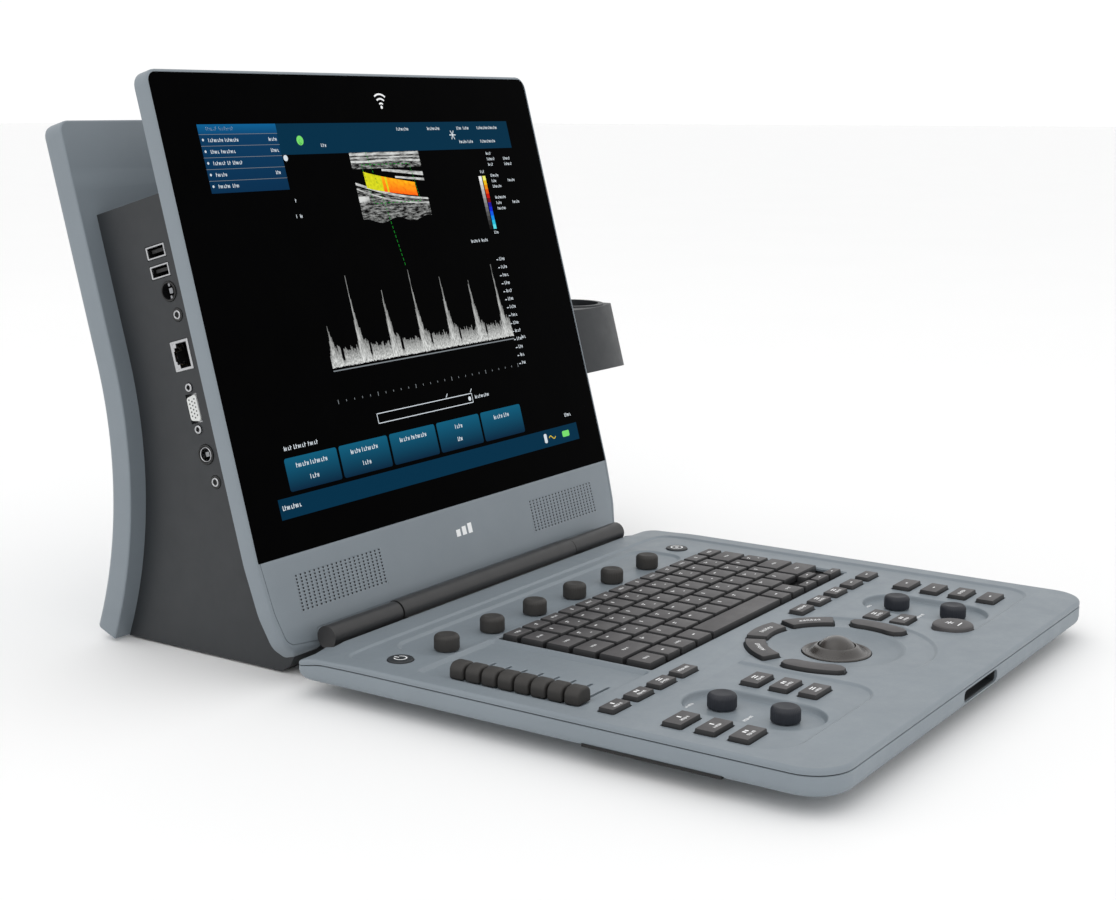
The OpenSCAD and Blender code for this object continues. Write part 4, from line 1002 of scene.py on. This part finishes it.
settle(dress(weighted(tub), LIGHT), "deck", "light_shell", "deck_bottom_shell")
settle(dress(weighted(belly.make("deck_belly")), LIGHT), "deck", "light_shell")

# ---------------------------------------------------------------- keys
def keycap(out, x0, x1, v0, v1, low, high, r=1.0, taper=0.55):
    """A key with tapered sides, a rounded shoulder and a paler top; the sides take a darker copy of the key
    plastic as painted shade.
    """
    h = high - low
    side = [(0, low), (taper * 0.5, low + h * 0.55), (taper, high - 0.35), (taper + 0.2, high - 0.1)]
    corners = rect(x0, -v1, x1, -v0, r)
    out.slab(corners, side, deck, 3, mat=1)
    out.f.pop()
    out.m.pop()
    top_ring = [deck(a, b, high) for a, b in outline(corners, taper + 0.5, 3)]
    n = len(top_ring)
    base = len(out.v) - n
    out.v += [(p[0] / 1000, p[1] / 1000, p[2] / 1000) for p in top_ring]
    for j in range(n):
        t = (j + 1) % n
        out.f.append((base + j, base + t, base + n + t, base + n + j))
        out.m.append(0)
    out.f.append(tuple(range(base + n, base + 2 * n)))
    out.m.append(0)


def mark_on(out, x, v, z, a, b, c, d):
    """A flat bar round (x, v), from (a, b) to (c, d)."""
    out.quad([deck(x + p, -v + q, z) for p, q in ((a, b), (c, b), (c, d), (a, d))])


def word_on(out, x, v, z, letters, size=1.7):
    """A row of generic letter-like strokes, centred."""
    for i in range(letters):
        left = (i - letters / 2) * size * 0.86
        kind = (i * 5 + letters * 3 + int(abs(x) + abs(v))) % 4
        mark_on(out, x, v, z, left, -size / 2, left + size * 0.2, size / 2)
        if kind != 2:
            mark_on(out, x, v, z, left + size * 0.45, -size / 2, left + size * 0.63, size / 2)
        level = size * (0.3, -0.5, -0.1, 0.0)[kind]
        mark_on(out, x, v, z, left + size * 0.2, level, left + size * 0.45, level + size * 0.2)


def legend(out, x, v, z, kind, k=1.0):
    """Generic printed mark on a key: short strokes, or an icon over a row of letter-like strokes."""
    k *= 1.3
    strokes = {0: [(-0.9, -0.35, 0.9, 0.35)], 1: [(-0.9, 0.2, 0.9, 0.75), (-0.9, -0.95, 0.3, -0.4)],
               2: [(-0.35, -1.0, 0.35, 1.0)], 3: [(-1.0, -1.0, -0.45, 1.0), (0.1, -0.35, 1.0, 0.35)],
               6: [(-0.5, 0.5, 0.5, 2.5)], 7: [(-1.7, 0.6, 1.7, 1.2), (-1.7, 1.8, 1.7, 2.4)],
               8: [(-1.4, 0.7, -0.2, 2.3), (0.5, 0.7, 1.5, 2.3)]}
    for a, b, c, d in strokes.get(kind, []):
        mark_on(out, x, v, z, a * k, b * k, c * k, d * k)
    if kind in (4, 5):
        word_on(out, x, v, z, 4 if kind == 4 else 6, 1.6 * k)
    if kind > 5:
        word_on(out, x, v + 1.1 * k, z, 5, 1.35 * k)


kb, kl = Build(), Build()
rows = [(12.6, [(13, 18.69)]), (17.7, [(1, 19.5), (12, 16.5), (1, 25.5)]),
        (17.7, [(1, 21.3), (10, 17.7), (3, 14.9)]),
        (17.7, [(1, 23.4), (9, 18.4), (1, 16.5), (1, 12.5), (1, 25)]),
        (17.7, [(1, 33), (10, 18), (1, 30)]),
        (17.7, [(1, 19.5), (1, 15.5), (1, 17.5), (1, 18.5), (1, 85.5), (1, 15.5), (1, 17.5)])]
v, SEAM = 77.0, 1.0
KEY_LOW, KEY_HIGH = 22.1, 26.0
for r, (depth, runs) in enumerate(rows):
    x = -93.0
    widths = [w for n, w in runs for _ in range(n)]
    for k, w in enumerate(widths):
        keycap(kb, x + SEAM, x + w - SEAM, v + SEAM, v + depth - SEAM, KEY_LOW, KEY_HIGH, 0.8)
        cx, cv = x + w / 2, v + depth / 2
        if w > 60:
            kind = None
        elif w > 19:
            kind = 4
        elif r == 0:
            kind = 4 if k % 4 == 0 else (0, 1, 4, 2)[k % 4]
        elif r == 5:
            kind = 0 if k % 2 else 4
        else:
            kind = (k * 7 + r * 3) % 4
            cx, cv = x + w * 0.36, v + depth * 0.34
        if kind is not None:
            legend(kl, cx, cv, KEY_HIGH + 0.02, kind, 0.8 if kind == 4 else 1.0)
            if kind in (1, 3) and r in (1, 2, 3):
                legend(kl, x + w * 0.62, v + depth * 0.64, KEY_HIGH + 0.02, 0, 0.7)
        x += w
    v += depth
AX, AV, AW = -93.0 + 243 - 3 * 17.8, 77.0 + 12.6 + 4 * 17.7, 17.8
for k in (0, 1, 2, 3):
    x, v = (AX + k * AW, AV + 8.85) if k < 3 else (AX + AW, AV)
    keycap(kb, x + SEAM, x + AW - SEAM, v + SEAM, v + 8.85 - SEAM, KEY_LOW, KEY_HIGH, 0.8)
    legend(kl, x + AW / 2, v + (4.45 if k < 3 else 4.4), KEY_HIGH + 0.02, 0, 0.9)
settle(dress(kb.make("keyboard_caps", 30), KEYTOP, KEY_SIDE_SHADE), "qwerty_keys", "key_plastic", "qwerty_keys")
settle(dress(kl.make("keyboard_marks"), PRINT), "qwerty_keys", "key_plastic")

row_kinds, side_kinds = (6, 8, 7, 5, 5, 7, 7, 0, 0), (6, 6, 8, 7, 8, 7, 7, 8, 0, 0, 5, 0)
for name, boxes, kinds in (("row_keys", row_boxes, row_kinds), ("side_keys", side_boxes, side_kinds)):
    caps, marks = Build(), Build()
    for i, (x0, x1, v0, v1) in enumerate(boxes):
        keycap(caps, x0, x1, v0, v1, 20.4, 26.0, 1.2, 0.7)
        kind = kinds[i]
        lift = 0 if kind in (0, 5) else -0.6
        legend(marks, (x0 + x1) / 2, (v0 + v1) / 2 - lift, 26.02, kind, 1.0)
    settle(dress(caps.make(name + "_caps", 30), KEYTOP, KEY_SIDE_SHADE), name, "key_plastic", name)
    settle(dress(marks.make(name + "_marks"), PRINT), name, "key_plastic")

for name, angles, corner in (("arc_keys", arcs, 1.4), ("select_keys", longs, 5.5)):
    caps, marks = Build(), Build()
    for a0, a1 in angles:
        side = [(0, 20.4), (0.3, 24.0), (0.6, 25.65), (0.8, 25.9)]
        caps.loft(ring_piece(a0, a1, 39, 52, side, corner=corner), caps=(True, False), mat=1)
        loops = ring_piece(a0, a1, 39, 52, [(0.8, 25.9), (1.2, 26.0)], corner=corner)
        caps.loft(loops, caps=(False, True))
        if name == "arc_keys":
            m = math.radians((a0 + a1) / 2)
            for i in range(6):
                at = m + (i - 2.5) * 0.05
                level = (45.9, 44.9, 43.9)[(i * 2 + int(a0)) % 3]
                for c0, c1, r0, r1 in ((-0.019, -0.009, 43.8, 46.4), (0.006, 0.014, 43.8, 45.8),
                                       (-0.009, 0.006, level, level + 0.5)):
                    marks.quad([deck(*around(r, at + c), 26.02) for c, r in
                                ((c0, r0), (c1, r0), (c1, r1), (c0, r1))])
    ob = welded(caps.make(name + "_caps", 30), 0.00001)
    settle(dress(ob, KEYTOP, KEY_SIDE_SHADE), name, "key_plastic", name)
    if name == "arc_keys":
        settle(dress(marks.make(name + "_marks"), PRINT), name, "key_plastic")

freeze = [(12, 19.6), (11.9, 25.4), (11.6, 26.4), (11.0, 26.85), (10.4, 27.0)]
freeze = Build().lathe(69.5, -285, freeze, deck, 56).make("freeze_cap", 30)
settle(dress(freeze, KEYTOP), "freeze_key", "key_plastic", "freeze_key")
fmark = Build()
for k in range(6):
    a = math.pi / 3 * k
    c, s_ = math.cos(a), math.sin(a)
    fmark.quad([deck(69.5 + c * p - s_ * q, -283 + s_ * p + c * q, 27.02) for p, q in
                ((0.2, -0.3), (2.6, -0.3), (2.6, 0.3), (0.2, 0.3))])
mark_on(fmark, 66.2, 289.6, 27.02, 0, 0, 6.8, 0.8)
settle(dress(fmark.make("freeze_mark"), PRINT), "freeze_key", "key_plastic")

BUTTON = [(7.4, 20.5), (7.35, 24.0), (7.0, 24.5), (6.5, 24.65), (5.9, 24.55), (5.4, 24.65), (2.0, 24.72)]
for name, x in (("power_button", -156.5), ("help_button", 143.5)):
    b = Build().lathe(x, -56, BUTTON, deck, 44).make(name + "_cap", 30)
    settle(dress(b, DARK), name, "dark_shell", name)
    sign = Build()
    if name == "power_button":
        strip(sign, deck, x, -56, 3.0, 3.8, 24.75, [math.radians(a) for a in range(125, 416, 15)])
        sign.quad([deck(x - 0.4, -55, 24.76), deck(x + 0.4, -55, 24.76),
                   deck(x + 0.4, -51.6, 24.75), deck(x - 0.4, -51.6, 24.75)])
    else:
        strip(sign, deck, x, -56, 3.4, 4.3, 24.75, [math.pi / 8 * k for k in range(17)])
        dot = [math.pi / 6 * k for k in range(12)]
        sign.quad([deck(x + 1.4 * math.cos(a), -56 + 1.4 * math.sin(a), 24.78) for a in dot])
    settle(dress(sign.make(name + "_sign"), PRINT), name, "dark_shell")


# ---------------------------------------------------------------- knobs and sliders
def knob(node, x, v, low, top, r, mat, slot):
    """Soft-touch knob with fine ribs and a shallow dish on top."""
    prof = [(r - 0.9, low), (r - 0.3, low + 0.25), (r, low + 0.9), (r, top - 2.4), (r - 0.15, top - 1.6),
            (r - 0.6, top - 0.8), (r - 1.3, top - 0.25), (r - 2.2, top), (r - 3.0, top - 0.12),
            (1.0, top - 0.3)]
    b = Build().lathe(x, -v, prof, deck, 160, ribs=40, rib=0.16)
    b.lathe(x, -v, [(3, 14.5), (3, low + 0.4)], deck, 24)
    settle(dress(b.make(node + "_cap", 40), mat), node, slot, node)


for i, x in enumerate(menu_x):
    knob("menu_knob_%d" % (i + 1), x, 63, 22.6, 31.6, 7.3, KNOB, "knob_plastic")
for i, (x, v) in enumerate(gain_at):
    knob("gain_knob_%d" % (i + 1), x, v, 20.9, 28.9, 7.7, BLUEKNOB, "gain_knob_plastic")

CAP = [(-163.2, 21.9, 1.2), (-150.8, 21.9, 1.2), (-150.8, 30.9, 4.6), (-163.2, 30.9, 4.6)]
for i, v in enumerate(slider_v):
    def across(a, c, d):
        return deck(a, -v + d, c)
    b = Build().slab(CAP, edge(-4.6, 4.6, 1.5, 1.5, 4), across, 8)
    b.slab(rect(-158.5, 15.4, -155.5, 23, 0.2), [(0, -0.6), (0, 0.6)], across, 2)
    node = "slider_%d" % (i + 1)
    settle(dress(b.make(node + "_cap", 40), KNOB), node, "knob_plastic", node)

# Printed marks on the deck's surface.
prints = Build()
for x, v, z in ((-126, 220.5, 20.53), (-126, 255, 20.53), (94, 220.5, 20.53), (94, 255, 20.53)):
    word_on(prints, x, v, z, 6, 1.8)
settle(dress(prints.make("panel_prints"), PRINT), "deck", "light_shell")
slot_lines = Build()
LIP = [(0, 21.5), (0.15, 21.62), (0.5, 21.62), (0.7, 21.5)]
for v in slider_v:
    slot_lines.slab(rect(-160.4, -v - 1.7, -125.6, -v + 1.7, 1.7), LIP, deck, 6, closed=True)
settle(dress(slot_lines.make("slot_lips"), LIGHT), "deck", "light_shell")

# ---------------------------------------------------------------- trackball
SEAT = [(19.5, 4.4), (19.5, 20.9), (19.2, 21.3), (18.5, 21.5), (17.8, 21.3), (17.2, 20.8), (16.4, 20.9),
        (15.2, 21.6), (13.8, 22.8), (12.4, 24.0), (11.3, 24.65), (10.8, 24.7), (11.9, 22.6), (12.9, 18.5),
        (12.9, 16.0), (11.5, 11.0), (6.0, 5.6), (1.0, 4.6)]
seat = Build().lathe(0, BALL_B, SEAT, deck, 72).make("ball_seat", 30)
settle(dress(seat, BALL), "deck", "dark_shell", "trackball_housing")
bm = bmesh.new()
bmesh.ops.create_icosphere(bm, subdivisions=5, radius=0.0125)
for vert in bm.verts:
    vert.co = vert.co + Vector((0, (AXIS_Y + BALL_B) / 1000, 0.0172))
me = bpy.data.meshes.new("ball")
bm.to_mesh(me)
bm.free()
ball = bpy.data.objects.new("ball", me)
bpy.context.scene.collection.objects.link(ball)
me.shade_smooth()
settle(dress(ball, BALL), "trackball", "dark_shell", "trackball")

# ---------------------------------------------------------------- sockets on the left wall
WALL_X = 157.5


def wall(a, b, level):
    """A point of the left wall: depth behind the face, height up the slope, level outwards from the wall."""
    return disp(-WALL_X - level, b, a)


usb = Build()
for h in (167.5, 156):
    c = rect(40.6, h - 3.9, 56.4, h + 3.9, 0.8)
    usb.slab(c, [(0, -1.2), (0, 0), (0.2, 0.25), (0.9, 0.25), (1.1, 0), (1.1, -1.2)], wall, 4, closed=True)
    usb.slab(c, [(0, -12), (0, -1.2), (1.1, -1.2), (1.1, -11.5)], wall, 4, mat=1)
    usb.slab(rect(43, h - 0.4, 54, h + 1.6, 0.2), [(0, -11.5), (0, -2.2)], wall, 2, mat=1)
settle(dress(usb.make("usb_ports"), STEEL, BLACK), "console", "metal", "usb_sockets")

lan = Build()
c = rect(39, 96.6, 54, 114.6, 0.5)
lan.slab(c, [(0, -2), (0, 0.1), (0.2, 0.3), (1.5, 0.3), (1.7, 0.1), (1.7, -2)], wall, 3, closed=True)
lan.slab(c, [(0, -19), (0, -2), (1.7, -2), (1.7, -16)], wall, 3, mat=1)
for h0, h1 in ((98.2, 100.6), (110.6, 113)):
    lan.slab(rect(49.5, h0, 52.4, h1, 0.1), [(0, -6), (0, 0.15)], wall, 2)
for h0, h1 in ((98.2, 102.6), (108.6, 113)):
    lan.slab(rect(51.4, h0, 52.6, h1, 0.1), [(0, -6), (0, 0.12)], wall, 2)
for k in range(8):
    lan.slab(rect(40.9, 101.4 + 1.1 * k, 43.4, 101.9 + 1.1 * k, 0.05), [(0, -9), (0, -3)], wall, 1, mat=2)
settle(dress(lan.make("network_port"), STEEL, BLACK, GOLD), "console", "metal", "network_socket")

vga = Build()
d_line = [(42.4, 65.7, 1.8), (50.6, 67.2, 1.8), (50.6, 80.6, 1.8), (42.4, 82.1, 1.8)]
vga.slab(d_line, [(0, -3.5), (0, 0.2), (0.25, 0.45)], wall, 4, mat=1)
for row in (-1, 0, 1):
    for pin in range(-2, 3):
        h = 73.9 + pin * 2.4 + (0.6 if row else -0.6)
        vga.lathe(46.4 + row * 2.1, h, [(0.52, 0.2), (0.52, 0.5)], wall, 10, mat=2)
vga.slab(rect(40.3, 57.4, 52.7, 90.4, 1), [(0, -14), (0, -3.2)], wall, 3)
jackscrew = [(2.6, -3.4), (2.6, 0.6), (2.3, 0.95), (1.6, 0.95), (1.42, 0.7), (1.42, -3.4)]
for h in (61.4, 86.4):
    vga.lathe(46.5, h, jackscrew, wall, 24, closed=True)
    vga.lathe(46.5, h, [(1.42, -3.4), (1.42, -2.4)], wall, 16, mat=2)
settle(dress(vga.make("video_port"), STEEL, INSERT, BLACK), "console", "metal", "vga_socket")

rounds = Build()
for k, h in enumerate((143.3, 46.2)):
    rounds.lathe(45, h, [(6, -13), (6, 0.5), (5.5, 0.9), (4.9, 0.7), (4.8, -8)], wall, 40, mat=1)
    if k == 0:
        rounds.slab(rect(41.6, h - 1.6, 44.4, h + 1.6, 0.5), [(0, -8), (0, 0.2)], wall, 3, mat=2)
        for dh in (-3.6, 3.6):
            rounds.slab(rect(43, h + dh - 0.9, 44.6, h + dh + 0.9, 0.5), [(0, -8), (0, 0.1)], wall, 3, mat=2)
    else:
        inner_ring = [(4.5, -7), (4.5, 0.5), (4.2, 0.75), (3.9, 0.5), (3.9, -7)]
        rounds.lathe(45, h, inner_ring, wall, 40, closed=True)
        rounds.slab(rect(43.4, h - 1.4, 46.4, h + 1.4, 0.5), [(0, -8), (0, -1)], wall, 3, mat=2)
jack_ring = [(2.7, 0.2), (2.7, 0.75), (2.4, 1), (1.95, 1), (1.7, 0.7), (1.7, 0.2)]
for h in (128.9, 29.3):
    rounds.lathe(42.3, h, [(4, -15), (4, 0.3), (3.7, 0.55), (2.7, 0.4)], wall, 32, mat=1)
    rounds.lathe(42.3, h, jack_ring, wall, 28, closed=True)
    rounds.lathe(42.3, h, [(1.7, 0.2), (1.7, 0.45)], wall, 20, mat=3)
settle(dress(rounds.make("round_ports"), STEEL, BLACK, ZINC, PAINTED_SHADE), "console", "metal", "round_sockets")

# ---------------------------------------------------------------- CAD pieces that keep their shape
keep = {
    "main_housing": (DARK, 0.8), "probe_holder": (DARK, 1.2), "hinge_bracket": (BARREL, 0.5),
    "hinge_cover": (BARREL, 0.5), "lcd_panel": (ZINC, 0), "speakers": (BLACK, 0),
    "probe_sockets": (BLACK, 0.4),
    "power_inlet": (BLACK, 0.3), "main_board": (BOARD, 0), "control_board": (BOARD, 0),
    "power_supply": (ZINC, 0.6), "battery_pack": (BLACK, 0.6), "fan_frame": (BLACK, 0.3),
    "fan_rotor": (BLACK, 0), "hinge_pins": (STEEL, 0), "base_pad": (RUBBER, 0.4),
    "housing_screws": (STEEL, 0), "rotary_encoders": (ZINC, 0),
    "slider_tracks": (ZINC, 0), "keyboard_base": (BLACK, 0), "deck_feet": (RUBBER, 0.5),
}
for name, (mat, width) in keep.items():
    nodes[name].data.materials.clear()
    dress(nodes[name], mat)
    nodes[name].data.polygons.foreach_set("material_index", [0] * len(nodes[name].data.polygons))
    if width:
        soften(nodes[name], width)

# ---------------------------------------------------------------- studio
REACH = 30000
floor = [(-REACH, -REACH, 0), (REACH, -REACH, 0), (REACH, REACH, 0), (-REACH, REACH, 0)]
floor = Build().quad(floor).make("floor")
floor_mat, fp = blank("floor_pale")
co = nd(floor_mat, "TexCoord").outputs["Object"]
fn = nd(floor_mat, "TexNoise", {"Vector": co, "Scale": 3.0}).outputs["Fac"]
pale = {6: (0.93, 0.93, 0.93, 1), 7: (0.945, 0.945, 0.945, 1)}
fm = nd(floor_mat, "Mix", {0: fn, **pale}, data_type="RGBA")
link(floor_mat, fm.outputs[2], fp.inputs["Base Color"])
fp.inputs["Roughness"].default_value = 0.7
fp.inputs["Specular IOR Level"].default_value = 0.2
dress(floor, floor_mat)


def lamp(name, at, to, size, power, colour=(1, 1, 1)):
    data = bpy.data.lights.new(name, "AREA")
    data.shape, data.size, data.energy, data.color = "DISK", size, power, colour
    ob = bpy.data.objects.new(name, data)
    ob.location = at
    ob.rotation_mode = "QUATERNION"
    ob.rotation_quaternion = (Vector(to) - Vector(at)).to_track_quat("-Z", "Y")
    bpy.context.scene.collection.objects.link(ob)


lamp("key", (-2.0, -0.8, 2.0), (0, -0.1, 0.1), 1.8, 6)
lamp("over", (-0.4, 0.3, 2.8), (0, 0, 0), 2.2, 5)
world = bpy.data.worlds.new("studio")
bpy.context.scene.world = world
world.use_nodes = True
world.node_tree.nodes["Background"].inputs[0].default_value = (1, 1, 1, 1)
world.node_tree.nodes["Background"].inputs[1].default_value = 1.02

cam = bpy.data.objects.new("camera", bpy.data.cameras.new("camera"))
bpy.context.scene.collection.objects.link(cam)
bpy.context.scene.camera = cam
cam.data.sensor_width, cam.data.lens = 36, 56.825
cam.data.clip_start, cam.data.clip_end = 0.01, 100
cam.location = (-0.87672, -0.74314, 0.32135)
yaw, dip = math.radians(55.898), math.radians(10.992)
look = Vector((math.sin(yaw) * math.cos(dip), math.cos(yaw) * math.cos(dip), -math.sin(dip)))
cam.rotation_mode = "QUATERNION"
cam.rotation_quaternion = look.to_track_quat("-Z", "Y")
bpy.context.scene.view_settings.view_transform = "Standard"
